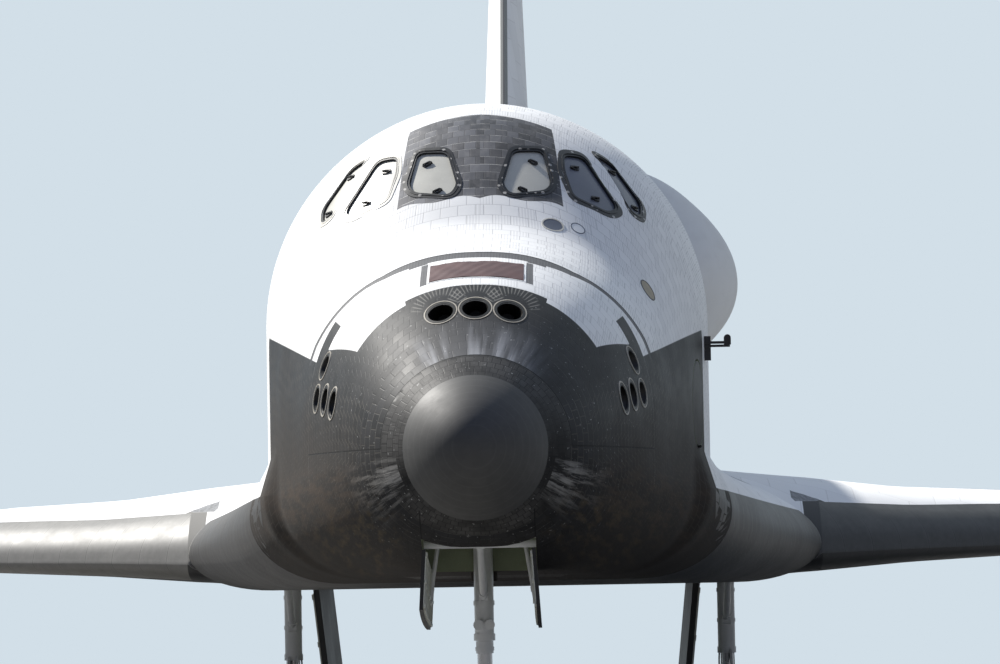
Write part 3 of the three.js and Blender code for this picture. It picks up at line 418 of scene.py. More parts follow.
# ---- Shader nodes
class Nodes:
    """Writes the nodes of one tree; each call gives back a socket to go on with."""

    def __init__(self, tree):
        self.tree = tree

    def add(self, kind, inputs=None, **settings):
        node = self.tree.nodes.new(kind)
        for key, value in settings.items():
            setattr(node, key, value)
        for key, value in (inputs or {}).items():
            self.feed(node.inputs[key], value)
        return node

    def feed(self, socket, value):
        if isinstance(value, bpy.types.NodeSocket):
            self.tree.links.new(value, socket)
        else:
            socket.default_value = value

    def feed_all(self, sockets, values):
        for socket, value in zip(sockets, values):
            self.feed(socket, value)

    def math(self, operation, *values):
        node = self.add("ShaderNodeMath", operation=operation)
        for i, value in enumerate(values):
            self.feed(node.inputs[i], value)
        return node.outputs[0]

    def sum(self, a, b): return self.math("ADD", a, b)
    def less(self, a, b): return self.math("SUBTRACT", a, b)
    def times(self, a, b): return self.math("MULTIPLY", a, b)
    def larger(self, a, b): return self.math("MAXIMUM", a, b)

    def above(self, value, edge, soft=0.004):
        """0 below an edge and 1 above it."""
        low = self.math("SUBTRACT", value, edge)
        return self.add("ShaderNodeMapRange",
                        {"Value": low, "From Min": -soft / 2, "From Max": soft / 2}).outputs[0]

    def below(self, value, edge, soft=0.004):
        return self.less(1.0, self.above(value, edge, soft))

    def between(self, value, low, high, soft=0.004):
        return self.times(self.above(value, low, soft), self.below(value, high, soft))

    def all_of(self, *masks):
        made = masks[0]
        for mask in masks[1:]:
            made = self.times(made, mask)
        return made

    def any_of(self, *masks):
        made = masks[0]
        for mask in masks[1:]:
            made = self.larger(made, mask)
        return made

    def ramp(self, value, low, high, a=0.0, b=1.0):
        return self.add("ShaderNodeMapRange", {"Value": value, "From Min": low, "From Max": high,
                                               "To Min": a, "To Max": b}).outputs[0]

    def blend(self, factor, a, b, how="MIX"):
        node = self.add("ShaderNodeMix", data_type="RGBA", blend_type=how)
        self.feed(node.inputs[0], factor)
        self.feed(node.inputs[6], (*a, 1) if isinstance(a, tuple) and len(a) == 3 else a)
        self.feed(node.inputs[7], (*b, 1) if isinstance(b, tuple) and len(b) == 3 else b)
        return node.outputs[2]

    def mix(self, factor, a, b):
        """A value between two values."""
        return self.add("ShaderNodeMix", {0: factor, 2: a, 3: b}, data_type="FLOAT").outputs[0]

    def shade(self, colour, value):
        """A colour times a value."""
        grey = self.add("ShaderNodeCombineColor", {"Red": value, "Green": value, "Blue": value}).outputs[0]
        return self.blend(1.0, colour, grey, "MULTIPLY")

    def noise(self, vector, scale, detail=3.0, roughness=0.5):
        return self.add("ShaderNodeTexNoise", {"Vector": vector, "Scale": scale, "Detail": detail,
                                               "Roughness": roughness}).outputs[0]

    def stretch(self, vector, x, y, z):
        return self.add("ShaderNodeVectorMath", {0: vector, 1: (x, y, z)}, operation="MULTIPLY").outputs[0]

    def group(self, name, inputs=None):
        node = self.add("ShaderNodeGroup", node_tree=bpy.data.node_groups[name])
        for key, value in (inputs or {}).items():
            self.feed(node.inputs[key], value)
        return node.outputs


def new_group(name, inputs, outputs):
    """An empty node group with named sockets: (name, kind, value) in, (name, kind) out."""
    tree = bpy.data.node_groups.new(name, "ShaderNodeTree")
    for label, kind, value in inputs:
        socket = tree.interface.new_socket(label, in_out="INPUT", socket_type="NodeSocket" + kind)
        if value is not None:
            socket.default_value = value
    for label, kind in outputs:
        tree.interface.new_socket(label, in_out="OUTPUT", socket_type="NodeSocket" + kind)
    nodes = Nodes(tree)
    return nodes, nodes.add("NodeGroupInput").outputs, nodes.add("NodeGroupOutput").inputs


def group_body_axes():
    """Body axes in metres for every point: along, across, up, and the angle from the crown round the axis."""
    n, _, out = new_group("body_axes", [], [("Point", "Vector"), ("Across", "Float"), ("Along", "Float"),
                                            ("Up", "Float"), ("Angle", "Float")])
    here = n.add("ShaderNodeTexCoord").outputs["Object"]
    back = -(NOSE_TIP @ TURN)
    point = n.add("ShaderNodeMapping", {"Vector": here, "Location": tuple(back),
                                        "Rotation": (-NOSE_DOWN, 0, 0)}).outputs[0]
    parts = n.add("ShaderNodeSeparateXYZ", {0: point}).outputs
    across = n.math("ABSOLUTE", parts[0])
    angle = n.math("ARCTAN2", across, n.less(parts[2], NOSE_AXIS * 0.001))
    n.feed_all(out, [point, across, parts[1], parts[2], n.math("DEGREES", angle)])


def group_tiles():
    """Rows of tiles: a tone for each tile, the gaps between them, pale filler in some gaps, and a height."""
    n, given, out = new_group(
        "tile_rows",
        [("Vector", "Vector", None), ("Width", "Float", 0.15), ("Length", "Float", 0.15),
         ("Gap", "Float", 0.006),
         ("Row Shift", "Float", 0.5), ("Filler Share", "Float", 0.1)],
        [("Tone", "Float"), ("Gap", "Float"), ("Filler", "Float"), ("Height", "Float")])
    parts = n.add("ShaderNodeSeparateXYZ", {0: given["Vector"]}).outputs
    row = n.math("DIVIDE", parts[1], given["Length"])
    row_number = n.math("FLOOR", row)
    odd = n.math("FLOORED_MODULO", row_number, 2.0)
    place = n.sum(n.math("DIVIDE", parts[0], given["Width"]), n.times(odd, given["Row Shift"]))
    number = n.add("ShaderNodeCombineXYZ", {0: n.math("FLOOR", place), 1: row_number}).outputs[0]
    chance = n.add("ShaderNodeTexWhiteNoise", {"Vector": number}, noise_dimensions="3D").outputs[0]
    shifted = n.add("ShaderNodeVectorMath", {0: number, 1: (17.3, 5.1, 2.7)}, operation="ADD").outputs[0]
    second = n.add("ShaderNodeTexWhiteNoise", {"Vector": shifted}, noise_dimensions="3D").outputs[0]

    def edge(value, size):
        centred = n.math("ABSOLUTE", n.less(n.math("FRACT", value), 0.5))
        room = n.times(n.less(0.5, centred), size)
        return n.math("SUBTRACT", 1.0, n.add("ShaderNodeMapRange", {
            "Value": room, "From Min": n.times(given["Gap"], 0.35), "From Max": given["Gap"]}).outputs[0])

    across, along = edge(place, given["Width"]), edge(row, given["Length"])
    gap = n.larger(across, along)
    filler = n.times(along, n.math("LESS_THAN", second, given["Filler Share"]))
    n.feed_all(out, [n.less(n.times(chance, 2.0), 1.0), gap, filler, n.less(1.0, gap)])


def group_grime():
    """Dirt on the skin: soft clouds, streaks along the body and small pale specks."""
    n, given, out = new_group("grime", [("Vector", "Vector", None), ("Scale", "Float", 1.0)],
                              [("Cloud", "Float"), ("Streak", "Float"), ("Speck", "Float")])
    cloud = n.noise(given["Vector"], given["Scale"], 5.0, 0.6)
    long = n.stretch(given["Vector"], 5.0, 0.35, 5.0)
    streak = n.noise(long, n.times(given["Scale"], 1.6), 4.0, 0.6)
    fine = n.noise(given["Vector"], n.times(given["Scale"], 22.0), 2.0, 0.6)
    n.feed_all(out, [n.ramp(cloud, 0.35, 0.7), n.ramp(streak, 0.48, 0.68), n.ramp(fine, 0.68, 0.74)])


def group_blanket():
    """Sewn blankets: panel seams, stitch rows and the pillowing between them."""
    n, given, out = new_group(
        "blanket", [("Vector", "Vector", None), ("Panel", "Float", 0.75), ("Pitch", "Float", 0.03)],
        [("Seam", "Float"), ("Tone", "Float"), ("Height", "Float")])
    panels = n.group("tile_rows", {"Vector": given["Vector"], "Width": given["Panel"],
                                   "Length": given["Panel"],
                                   "Gap": 0.012, "Row Shift": 0.5, "Filler Share": 0.0})
    stitches = n.group("tile_rows", {"Vector": given["Vector"], "Width": given["Pitch"],
                                     "Length": given["Pitch"],
                                     "Gap": 0.006, "Row Shift": 0.0, "Filler Share": 0.0})
    height = n.less(n.times(stitches["Height"], 0.5), panels["Gap"])
    n.feed_all(out, [panels["Gap"], panels["Tone"], height])


for make_group in (group_body_axes, group_tiles, group_grime, group_blanket):
    make_group()


def new_material(name, fill, **plain):
    """A material whose Principled shader fill(nodes) feeds: a dict of sockets, with Height for the bump."""
    material = bpy.data.materials.new(name)
    material.use_nodes = True
    tree = material.node_tree
    shader = tree.nodes["Principled BSDF"]
    for key, value in plain.items():
        shader.inputs[key.replace("_", " ")].default_value = value
    n = Nodes(tree)
    fed = fill(n)
    height = fed.pop("Height", None)
    strength = fed.pop("Bump", 0.3)
    depth = fed.pop("Depth", 0.003)
    for key, value in fed.items():
        n.feed(shader.inputs[key], value)
    if height is not None:
        bump = n.add("ShaderNodeBump", {"Height": height, "Strength": strength, "Distance": depth})
        n.feed(shader.inputs["Normal"], bump.outputs[0])
    return material


def skin_vector(n):
    return n.add("ShaderNodeUVMap", uv_map="skin").outputs[0]


BLACK = (0.0135, 0.014, 0.0155)
WHITE = (0.83, 0.83, 0.82)


def black_tiles(n, vector, grime, width=0.152, length=0.152, shift=0.5, filler=0.12, worn=0.0):
    """Black tiles; worn is the share of their joints that has gone pale."""
    tiles = n.group("tile_rows", {"Vector": vector, "Width": width, "Length": length, "Gap": 0.007,
                                  "Row Shift": shift, "Filler Share": filler})
    colour = n.shade(BLACK + (1,), n.ramp(tiles["Tone"], -1, 1, 0.6, 1.6))
    colour = n.blend(n.times(grime["Cloud"], 0.30), colour, (0.036, 0.034, 0.032))
    colour = n.blend(n.times(grime["Streak"], 0.10), colour, (0.085, 0.082, 0.078))
    colour = n.blend(n.times(tiles["Gap"], 0.6), colour, (0.010, 0.010, 0.010))
    colour = n.blend(n.all_of(tiles["Gap"], worn), colour, (0.115, 0.104, 0.088))
    colour = n.blend(n.times(tiles["Filler"], 0.6), colour, (0.11, 0.108, 0.102))
    rough = n.sum(n.ramp(grime["Cloud"], 0, 1, 0.52, 0.62), n.times(tiles["Tone"], 0.03))
    return colour, rough, tiles["Height"]


def white_tiles(n, vector, grime):
    """White tiles, some of them finely ribbed along the body."""
    tiles = n.group("tile_rows", {"Vector": vector, "Width": 0.205, "Length": 0.205, "Gap": 0.007,
                                  "Row Shift": 0.5, "Filler Share": 0.10})
    ribs = n.add("ShaderNodeTexWave", {"Vector": vector, "Scale": 9.0, "Distortion": 0.5, "Detail": 1.0},
                 bands_direction="X").outputs[1]
    ribbed = n.times(ribs, n.above(tiles["Tone"], 0.0))
    colour = n.shade(WHITE + (1,), n.ramp(tiles["Tone"], -1, 1, 0.955, 1.03))
    colour = n.blend(n.times(grime["Cloud"], 0.12), colour, (0.60, 0.60, 0.59))
    colour = n.blend(n.times(ribbed, 0.32), colour, (0.42, 0.42, 0.42))
    colour = n.blend(n.times(tiles["Gap"], 0.50), colour, (0.34, 0.34, 0.34))
    colour = n.blend(n.times(tiles["Filler"], 0.30), colour, (0.35, 0.34, 0.33))
    return colour, n.ramp(ribs, 0, 1, 0.52, 0.62), n.sum(tiles["Height"], n.times(ribbed, 0.25))


def skin_fields(n, axes):
    """Where the crew section and module are black tile, and the patch round the front windows."""
    across, along, angle = axes["Across"], axes["Along"], axes["Angle"]
    ahead = n.below(along, MODULE_END)
    field_edge = n.sum(2.375, n.times(n.above(angle, 25.5, 0.3), -0.105))
    side_limit = n.sum(n.ramp(along, 2.3, 3.3, 50.0, 55.0), n.times(n.above(along, 3.36), -8.0))
    white_field = n.all_of(n.above(along, field_edge), n.below(angle, side_limit, 0.2))
    aft_black = n.times(n.above(angle, 60.3, 0.2), n.below(along, 7.33))
    patch_side = n.below(across, n.ramp(along, 5.6, 6.88, 0.972, 0.845))
    patch_low = n.sum(n.sum(5.475, n.times(across, 0.10)),
                      n.times(n.math("SINE", n.times(across, 9.0)), 0.03))
    patch = n.all_of(patch_side, n.above(along, patch_low),
                     n.below(along, n.ramp(across, 0, 0.85, 6.90, 6.83)))
    dark = n.any_of(n.times(ahead, n.less(1.0, white_field)), n.times(n.less(1.0, ahead), aft_black),
                    below_glove_edge(n, axes), patch)
    return dark, patch


def module_bands(n, axes, colour):
    """The dark band behind the module, a step in it beside the cover, and a bar on each side of the cover."""
    across, along, angle = axes["Across"], axes["Along"], axes["Angle"]
    band_line = n.sum(along, n.ramp(angle, 28, 56, 0, -0.42))
    band_low = n.ramp(angle, 18, 34, 3.465, 3.60)
    above_sides = n.below(angle, 62, 0.3)
    band = n.all_of(n.above(n.less(band_line, band_low), 0.0), n.below(band_line, 3.725), above_sides)
    step = n.all_of(n.between(along, 3.42, 3.62), n.between(across, 0.56, 0.765))
    colour = n.blend(n.times(n.larger(band, step), 0.9), colour, (0.040, 0.040, 0.043))
    seam = n.all_of(n.between(band_line, 3.700, MODULE_END), above_sides)
    colour = n.blend(seam, colour, (0.012, 0.012, 0.012))
    bars = n.all_of(n.between(along, 2.60, 3.40), n.between(across, 0.548, 0.622))
    return n.blend(n.times(bars, 0.9), colour, (0.055, 0.055, 0.058))


def cap_ring(n, axes, vector, colour):
    """Fine rows of tiles in the ring between the nose cap and the module, darker at some places."""
    ring = n.between(axes["Along"], 0.61, 0.962)
    rows = n.group("tile_rows", {"Vector": vector, "Width": 0.10, "Length": 0.115, "Gap": 0.006,
                                 "Row Shift": 0.5, "Filler Share": 0.25})
    wide = n.noise(axes["Point"], 1.7, 3.0, 0.5)
    tone = n.times(n.ramp(rows["Tone"], -1, 1, 0.85, 1.2), n.ramp(wide, 0.38, 0.62, 0.6, 1.9))
    colour = n.blend(ring, colour, n.shade((0.030, 0.029, 0.028, 1), tone))
    return n.blend(n.all_of(ring, rows["Gap"]), colour, (0.012, 0.012, 0.012))


def swept(n, axes, round_share, side_share, along_share, scale, detail, rough):
    """Noise drawn out along the flow over the nose."""
    way = n.add("ShaderNodeCombineXYZ", {0: n.times(axes["Angle"], round_share),
                                         1: n.times(parts_sign(n, axes), side_share),
                                         2: n.times(axes["Along"], along_share)}).outputs[0]
    return n.noise(way, scale, detail, rough)


def nose_marks(n, axes, grime, dark, colour):
    """Ash swept up from the ring, fans of fine tiles over the front jets, smears, specks, brown stains and a
    painted warm reflection.
    """
    across, along, up, angle = axes["Across"], axes["Along"], axes["Up"], axes["Angle"]
    behind_ring = n.above(along, 0.972)
    fan = swept(n, axes, 0.11, 3.0, 0.6, 1.6, 2.0, 0.5)
    ash = n.all_of(n.ramp(fan, 0.46, 0.66), n.ramp(along, 1.55, 0.98), behind_ring, n.ramp(angle, 44, 20))
    colour = n.blend(n.times(ash, 0.55), colour, (0.62, 0.63, 0.66))
    glaze = n.all_of(n.ramp(along, 1.9, 0.98), behind_ring, n.ramp(angle, 50, 10))
    colour = n.blend(n.times(glaze, 0.35), colour, (0.26, 0.26, 0.265))
    for jet_across, jet_up in FAN_CENTRES:
        out, rise = n.less(across, jet_across), n.less(up, jet_up)
        reach = n.math("SQRT", n.sum(n.times(out, out), n.times(rise, rise)))
        turn = n.math("FRACT", n.math("DIVIDE", n.math("ARCTAN2", out, rise), 0.155))
        fan_tiles = n.all_of(n.between(turn, 0.36, 0.66, 0.15), n.between(reach, 0.215, 0.325, 0.03),
                             n.above(rise, 0.02, 0.06), dark, 0.38)
        colour = n.blend(fan_tiles, colour, (0.34, 0.33, 0.30))
    low_side = n.all_of(n.ramp(angle, 94, 104), n.ramp(angle, 132, 112), n.ramp(along, 2.0, 1.0),
                        n.above(along, 0.72))
    brushed = swept(n, axes, 0.30, 5.0, 1.7, 1.3, 4.0, 0.65)
    colour = n.blend(n.all_of(low_side, n.ramp(brushed, 0.46, 0.62), 0.6), colour, (0.40, 0.39, 0.37))
    specks = n.all_of(grime["Speck"], dark, n.ramp(along, 5.0, 1.0), 0.8)
    colour = n.blend(specks, colour, (0.38, 0.38, 0.37))
    # Brown on the black sides of the nose: a painted warm reflection of the sun grazing the tiles.
    warm_reflection_painted = n.all_of(dark, n.ramp(angle, 66, 92), n.ramp(along, 1.0, 3.0))
    colour = n.blend(n.times(warm_reflection_painted, 0.55), colour, (0.040, 0.031, 0.023))
    rust = n.all_of(dark, n.between(angle, 97, 118, 8), n.ramp(along, 0.9, 2.2), n.ramp(along, 9.0, 5.0),
                    n.ramp(brushed, 0.42, 0.60))
    colour = n.blend(n.times(rust, 0.30), colour, (0.105, 0.070, 0.045))
    ochre = n.all_of(dark, n.between(angle, 112, 140, 10), n.ramp(along, 0.9, 1.8), n.ramp(along, 6.5, 4.0),
                     grime["Streak"])
    return n.blend(n.times(ochre, 0.45), colour, (0.125, 0.088, 0.042))


def skin_seams(n, axes):
    """Seams round the module and on the chin."""
    across, along, up = axes["Across"], axes["Along"], axes["Up"]
    return n.any_of(n.all_of(n.between(along, 0.955, 0.974, 0.002), n.above(up, 1.775)),
                    n.all_of(n.between(up, 1.770, 1.786, 0.002), n.between(along, 0.96, 3.74)),
                    n.all_of(n.between(across, 0.598, 0.612, 0.002), n.below(up, 1.3),
                             n.between(along, 0.8, 1.33)))


MODULE_END = 3.735  # station, in metres
# The front jets' distance from the centreline and height, in metres
FAN_CENTRES = ((0.0, 3.288), (0.372, 3.250))


def skin_material():
    """The skin of the nose and crew section: black tiles below and ahead, white above, and marked fields."""
    def fill(n):
        axes = n.group("body_axes")
        grime = n.group("grime", {"Vector": axes["Point"], "Scale": 1.1})
        across, angle = axes["Across"], axes["Angle"]
        vector = skin_vector(n)
        dark, patch = skin_fields(n, axes)
        inside_glove = n.below(across, 2.72, 0.02)
        pale_joints = n.sum(0.06, n.sum(n.times(patch, 0.42), n.times(n.ramp(angle, 62, 90), 0.30)))
        worn_sides = n.all_of(n.between(angle, 64, 116, 8), n.ramp(grime["Cloud"], 0, 1, 0.35, 0.85),
                              inside_glove, 0.85)
        black, black_rough, black_height = black_tiles(n, vector, grime,
                                                       filler=n.times(pale_joints, inside_glove),
                                                       worn=worn_sides)
        white, white_rough, white_height = white_tiles(n, vector, grime)
        # The patch round the windows is lightened, partly as weathered grey and partly as a painted sheen of
        # the sun: lighter towards starboard, the lit side.
        patch_wear_and_painted_sheen = n.times(n.ramp(grime["Cloud"], 0, 1, 0.75, 1.0),
                             n.ramp(n.times(parts_sign(n, axes), across), -0.6, 0.9, 1.0, 0.45))
        black = n.shade(black, n.ramp(n.times(patch, patch_wear_and_painted_sheen), 0, 1, 1.0, 8.6))
        colour = module_bands(n, axes, n.blend(dark, white, black))
        colour = cap_ring(n, axes, vector, colour)
        colour = nose_marks(n, axes, grime, dark, colour)
        seams = skin_seams(n, axes)
        colour = n.blend(n.times(seams, 0.85), colour, (0.006, 0.006, 0.006))
        rough = n.sum(n.mix(dark, white_rough, black_rough), n.times(dark, n.ramp(angle, 72, 104, 0.0, 0.30)))
        height = n.less(n.mix(dark, white_height, black_height), seams)
        return {"Base Color": colour, "Roughness": rough, "Height": height, "Bump": 0.3, "Depth": 0.004}
    return new_material("nose_and_crew_skin", fill, Specular_IOR_Level=0.22)


def parts_sign(n, axes):
    """1 to port and -1 to starboard."""
    return n.math("SIGN", n.add("ShaderNodeSeparateXYZ", {0: axes["Point"]}).outputs[0])


def white_blankets(n, vector, grime, panel, pitch, tones, cloud, seam, seam_colour, streak=0.0):
    """Sewn white blankets: their colour and their height."""
    sewn = n.group("blanket", {"Vector": vector, "Panel": panel, "Pitch": pitch})
    colour = n.shade(WHITE + (1,), n.ramp(sewn["Tone"], -1, 1, *tones))
    colour = n.blend(n.times(grime["Cloud"], cloud), colour, (0.56, 0.55, 0.52))
    if streak:
        colour = n.blend(n.times(grime["Streak"], streak), colour, (0.45, 0.43, 0.40))
    return n.blend(n.times(sewn["Seam"], seam), colour, seam_colour), sewn["Height"]


def blanket_material(name="white_blanket_skin", black_below=None):
    """White sewn blankets; below a level the skin is black tile."""
    def fill(n):
        axes = n.group("body_axes")
        grime = n.group("grime", {"Vector": axes["Point"], "Scale": 0.7})
        vector = skin_vector(n)
        colour, height = white_blankets(n, vector, grime, 0.76, 0.038, (0.95, 1.04), 0.16, 0.35,
                                        (0.42, 0.41, 0.39), 0.10)
        rough = 0.82
        if black_below:
            black, black_rough, black_height = black_tiles(n, vector, grime, filler=0.04)
            dark = black_below(n, axes)
            colour = n.blend(dark, colour, black)
            rough = n.mix(dark, rough, black_rough)
            height = n.mix(dark, height, black_height)
        return {"Base Color": colour, "Roughness": rough, "Height": height, "Bump": 0.35, "Depth": 0.004}
    return new_material(name, fill)


def carbon_material(name, tone, edges, gloss, shine):
    """Carbon shells: satin grey with soft mottling; edges(n, axes) marks seams or rings."""
    def fill(n):
        axes = n.group("body_axes")
        grime = n.group("grime", {"Vector": axes["Point"], "Scale": 1.3})
        grain = n.noise(axes["Point"], 9.0, 5.0, 0.6)
        colour = n.shade(tone + (1,), n.ramp(grain, 0.25, 0.75, 0.86, 1.16))
        colour = n.blend(n.times(grime["Cloud"], 0.30), colour, tuple(c * 1.35 for c in tone))
        colour = n.blend(n.times(grime["Streak"], 0.15), colour, tuple(c * 0.6 for c in tone))
        seams, rings = edges(n, axes)
        colour = n.blend(n.times(rings, 0.22), colour, tuple(c * 1.8 for c in tone))
        colour = n.blend(n.times(seams, 0.75), colour, (0.018, 0.018, 0.018))
        rough = n.ramp(n.noise(axes["Point"], 3.0, 4.0, 0.6), 0.3, 0.7, *gloss)
        return {"Base Color": colour, "Roughness": rough, "Height": n.less(n.times(grain, 0.3), seams),
                "Bump": 0.12, "Depth": 0.004}
    return new_material(name, fill, Specular_IOR_Level=shine)


def plain_material(name, colour, rough, metal=0.0, mottle=0.12, scale=6.0, **more):
    """A painted or metal finish with soft variation in tone and gloss."""
    def fill(n):
        axes = n.group("body_axes")
        cloud = n.noise(axes["Point"], scale, 5.0, 0.6)
        fine = n.noise(axes["Point"], scale * 14, 3.0, 0.6)
        shade = n.shade(colour + (1,), n.ramp(cloud, 0.25, 0.75, 1 - mottle, 1 + mottle))
        shade = n.blend(n.times(n.ramp(fine, 0.62, 0.7), 0.25), shade,
                        tuple(min(1.0, c * 1.6 + 0.03) for c in colour))
        rough_map = n.ramp(cloud, 0.3, 0.7, rough * 0.85, min(1.0, rough * 1.15))
        return {"Base Color": shade, "Roughness": rough_map, "Height": fine, "Bump": 0.08, "Depth": 0.002}
    return new_material(name, fill, Metallic=metal, **more)


# ---- Finishes
def nose_cap_marks(n, axes):
    rings = n.any_of(*[n.between(axes["Along"], at, at + 0.006 + at * 0.02, 0.004)
                       for at in (0.045, 0.10, 0.165, 0.24, 0.32, 0.41, 0.505)])
    return n.between(axes["Along"], 0.598, 0.612, 0.003), rings


def edge_panel_marks(n, axes):
    """Seams between the leading edge's shells, square to its sweep."""
    run = n.sum(axes["Across"], axes["Along"])
    place = n.math("FRACT", n.math("DIVIDE", run, 0.93))
    return n.between(place, 0.49, 0.506, 0.006), n.between(place, 0.46, 0.53, 0.03)


def facing_down(n):
    """1 on faces that look down."""
    normal = n.add("ShaderNodeTexCoord").outputs["Normal"]
    up = n.add("ShaderNodeSeparateXYZ", {0: normal}).outputs[2]
    return n.below(up, -0.05, 0.02)


def below_glove_edge(n, axes):
    """1 below the line along the glove where the black tiles end."""
    return n.below(axes["Up"], n.ramp(axes["Along"], 6.544, 20.04, 1.37, 1.09))


def kink_patch(n, axes):
    """The grey patch on the wing's upper side where its leading edge bends, a band with a pointed tongue, and
    the shell's strip beside it."""
    across, up = axes["Across"], axes["Up"]
    low_edge = n.any_of(n.ramp(across, 4.54, 4.76, 1.105, 1.23), n.ramp(across, 4.76, 5.25, 1.23, 1.345))
    inner_edge = n.ramp(across, 4.36, 4.54, 1.285, 1.105)
    near = n.between(axes["Along"], 19.9, 20.95)
    patch = n.all_of(n.between(across, 4.36, 5.25), n.above(n.less(up, low_edge), 0.0, 0.01),
                     n.above(n.less(up, inner_edge), 0.0, 0.01), near)
    shell = n.all_of(n.above(across, 4.53), n.below(n.less(up, low_edge), 0.0, 0.01), near)
    return patch, shell


def wing_material(name, under=True):
    """White above with panel seams and black tile below."""
    def fill(n):
        axes = n.group("body_axes")
        grime = n.group("grime", {"Vector": axes["Point"], "Scale": 0.6})
        white, white_height = white_blankets(n, axes["Point"], grime, 0.9, 0.04, (0.96, 1.03), 0.15, 0.35,
                                             (0.45, 0.44, 0.42))
        low_front = n.all_of(n.below(axes["Along"], 20.04), n.ramp(grime["Cloud"], 0, 1, 0.4, 0.9), 0.6)
        black, black_rough, black_height = black_tiles(n, axes["Point"], grime, filler=0.16, worn=low_front)
        # Brown over the upper black tiles of the glove: a painted warm sheen where the sun grazes them.
        black = n.blend(n.all_of(low_front, n.above(axes["Up"], 0.55, 0.3), 0.6), black,
                        (0.046, 0.036, 0.027))
        glove = n.times(n.below(axes["Along"], 20.04), below_glove_edge(n, axes))
        dark = facing_down(n)
        if under:
            dark = n.larger(n.times(dark, n.above(axes["Along"], 20.04)), glove)
        # grey carbon patch on the upper side at the kink
        kink, shell = kink_patch(n, axes)
        mottled = n.noise(axes["Point"], 14.0, 4.0, 0.7)
        white = n.blend(kink, white, n.shade((0.20, 0.205, 0.21, 1), n.ramp(mottled, 0.3, 0.7, 0.6, 1.5)))
        colour = n.blend(dark, white, black)
        # The shell strip at the kink is darker on the port wing: painted shade, as on the port leading edge.
        shell_tone_painted_port_shade = n.blend(n.above(parts_sign(n, axes), 0.0), (0.17, 0.166, 0.155), (0.060, 0.060, 0.058))
        colour = n.blend(n.times(shell, n.less(1.0, facing_down(n))), colour, shell_tone_painted_port_shade)
        rough = n.mix(dark, 0.8, black_rough)
        height = n.mix(dark, white_height, black_height)
        return {"Base Color": colour, "Roughness": rough, "Height": height, "Bump": 0.3, "Depth": 0.004}
    return new_material(name, fill)


def under_tile_material():
    def fill(n):
        axes = n.group("body_axes")
        grime = n.group("grime", {"Vector": axes["Point"], "Scale": 0.8})
        colour, rough, height = black_tiles(n, axes["Point"], grime, filler=0.04)
        return {"Base Color": colour, "Roughness": rough, "Height": height, "Bump": 0.35, "Depth": 0.004}
    return new_material("black_under_tiles", fill)


def frame_material():
    """Black tile band round a window, with pale plugs."""
    def fill(n):
        axes = n.group("body_axes")
        spots = n.add("ShaderNodeTexVoronoi",
                      {"Vector": axes["Point"], "Scale": 11.0, "Randomness": 0.45}).outputs["Distance"]
        cloud = n.noise(axes["Point"], 4.0, 4.0, 0.6)
        colour = n.shade((0.014, 0.014, 0.015, 1), n.ramp(cloud, 0.3, 0.7, 0.7, 1.4))
        colour = n.blend(n.times(n.below(spots, 0.24, 0.05), 0.75), colour, (0.50, 0.48, 0.45))
        return {"Base Color": colour, "Roughness": n.ramp(cloud, 0.3, 0.7, 0.36, 0.5), "Height": cloud,
                "Bump": 0.1}
    return new_material("window_frame", fill)


def fin_material():
    """White blankets on the fin, a dark strip of tiles along its leading edge."""
    def fill(n):
        axes = n.group("body_axes")
        grime = n.group("grime", {"Vector": axes["Point"], "Scale": 0.7})
        turned_axes = n.add("ShaderNodeCombineXYZ", {0: axes["Up"], 1: axes["Along"]}).outputs[0]
        white, height = white_blankets(n, turned_axes, grime, 0.76, 0.038, (0.95, 1.03), 0.14, 0.3,
                                       (0.42, 0.41, 0.40))
        black = black_tiles(n, turned_axes, grime, filler=0.2)[0]
        lead = n.ramp(axes["Up"], FIN["root"][0], FIN["tip"][0], FIN["root"][1], FIN["tip"][1])
        strip = n.below(n.less(axes["Along"], lead), 0.150)
        dark = n.blend(0.7, black, (0.13, 0.13, 0.13))
        colour = n.blend(strip, white, dark)
        return {"Base Color": colour, "Roughness": n.ramp(strip, 0, 1, 0.8, 0.45), "Height": height,
                "Bump": 0.3, "Depth": 0.004}
    return new_material("fin_skin", fill)


def nozzle_material():
    """Bare nozzle metal with heat tints drawn out aft, and a darker tint towards its end."""
    def fill(n):
        axes = n.group("body_axes")
        heat = n.noise(n.stretch(axes["Point"], 1.0, 0.3, 1.0), 2.4, 4.0, 0.6)
        colour = n.blend(n.ramp(heat, 0.3, 0.7), (0.30, 0.29, 0.28), (0.46, 0.42, 0.38))
        colour = n.blend(n.times(n.ramp(axes["Along"], 34.4, 36.2), 0.35), colour, (0.22, 0.20, 0.22))
        return {"Base Color": colour, "Roughness": n.ramp(heat, 0.3, 0.7, 0.30, 0.48), "Height": heat,
                "Bump": 0.1}
    return new_material("nozzle_shell", fill, Metallic=0.85)


FIN = {"root": (5.7, 26.16), "tip": (13.99, 34.511)}  # height and station of its leading edge, in metres
SKIN_LOOK = skin_material()
BLANKET = blanket_material()
SIDE_BLANKET = blanket_material("white_sides_black_below",
                                lambda n, axes: n.below(axes["Up"],
                                                        n.ramp(axes["Along"], 20.0, 27.0, 0.80, 0.42)))
WING_LOOK = wing_material("wing_skin")
ELEVON_LOOK = wing_material("elevon_skin", under=False)
UNDER_TILES = under_tile_material()
NOSE_CARBON = carbon_material("nose_carbon_shell", (0.044, 0.043, 0.041), nose_cap_marks, (0.58, 0.68), 0.60)
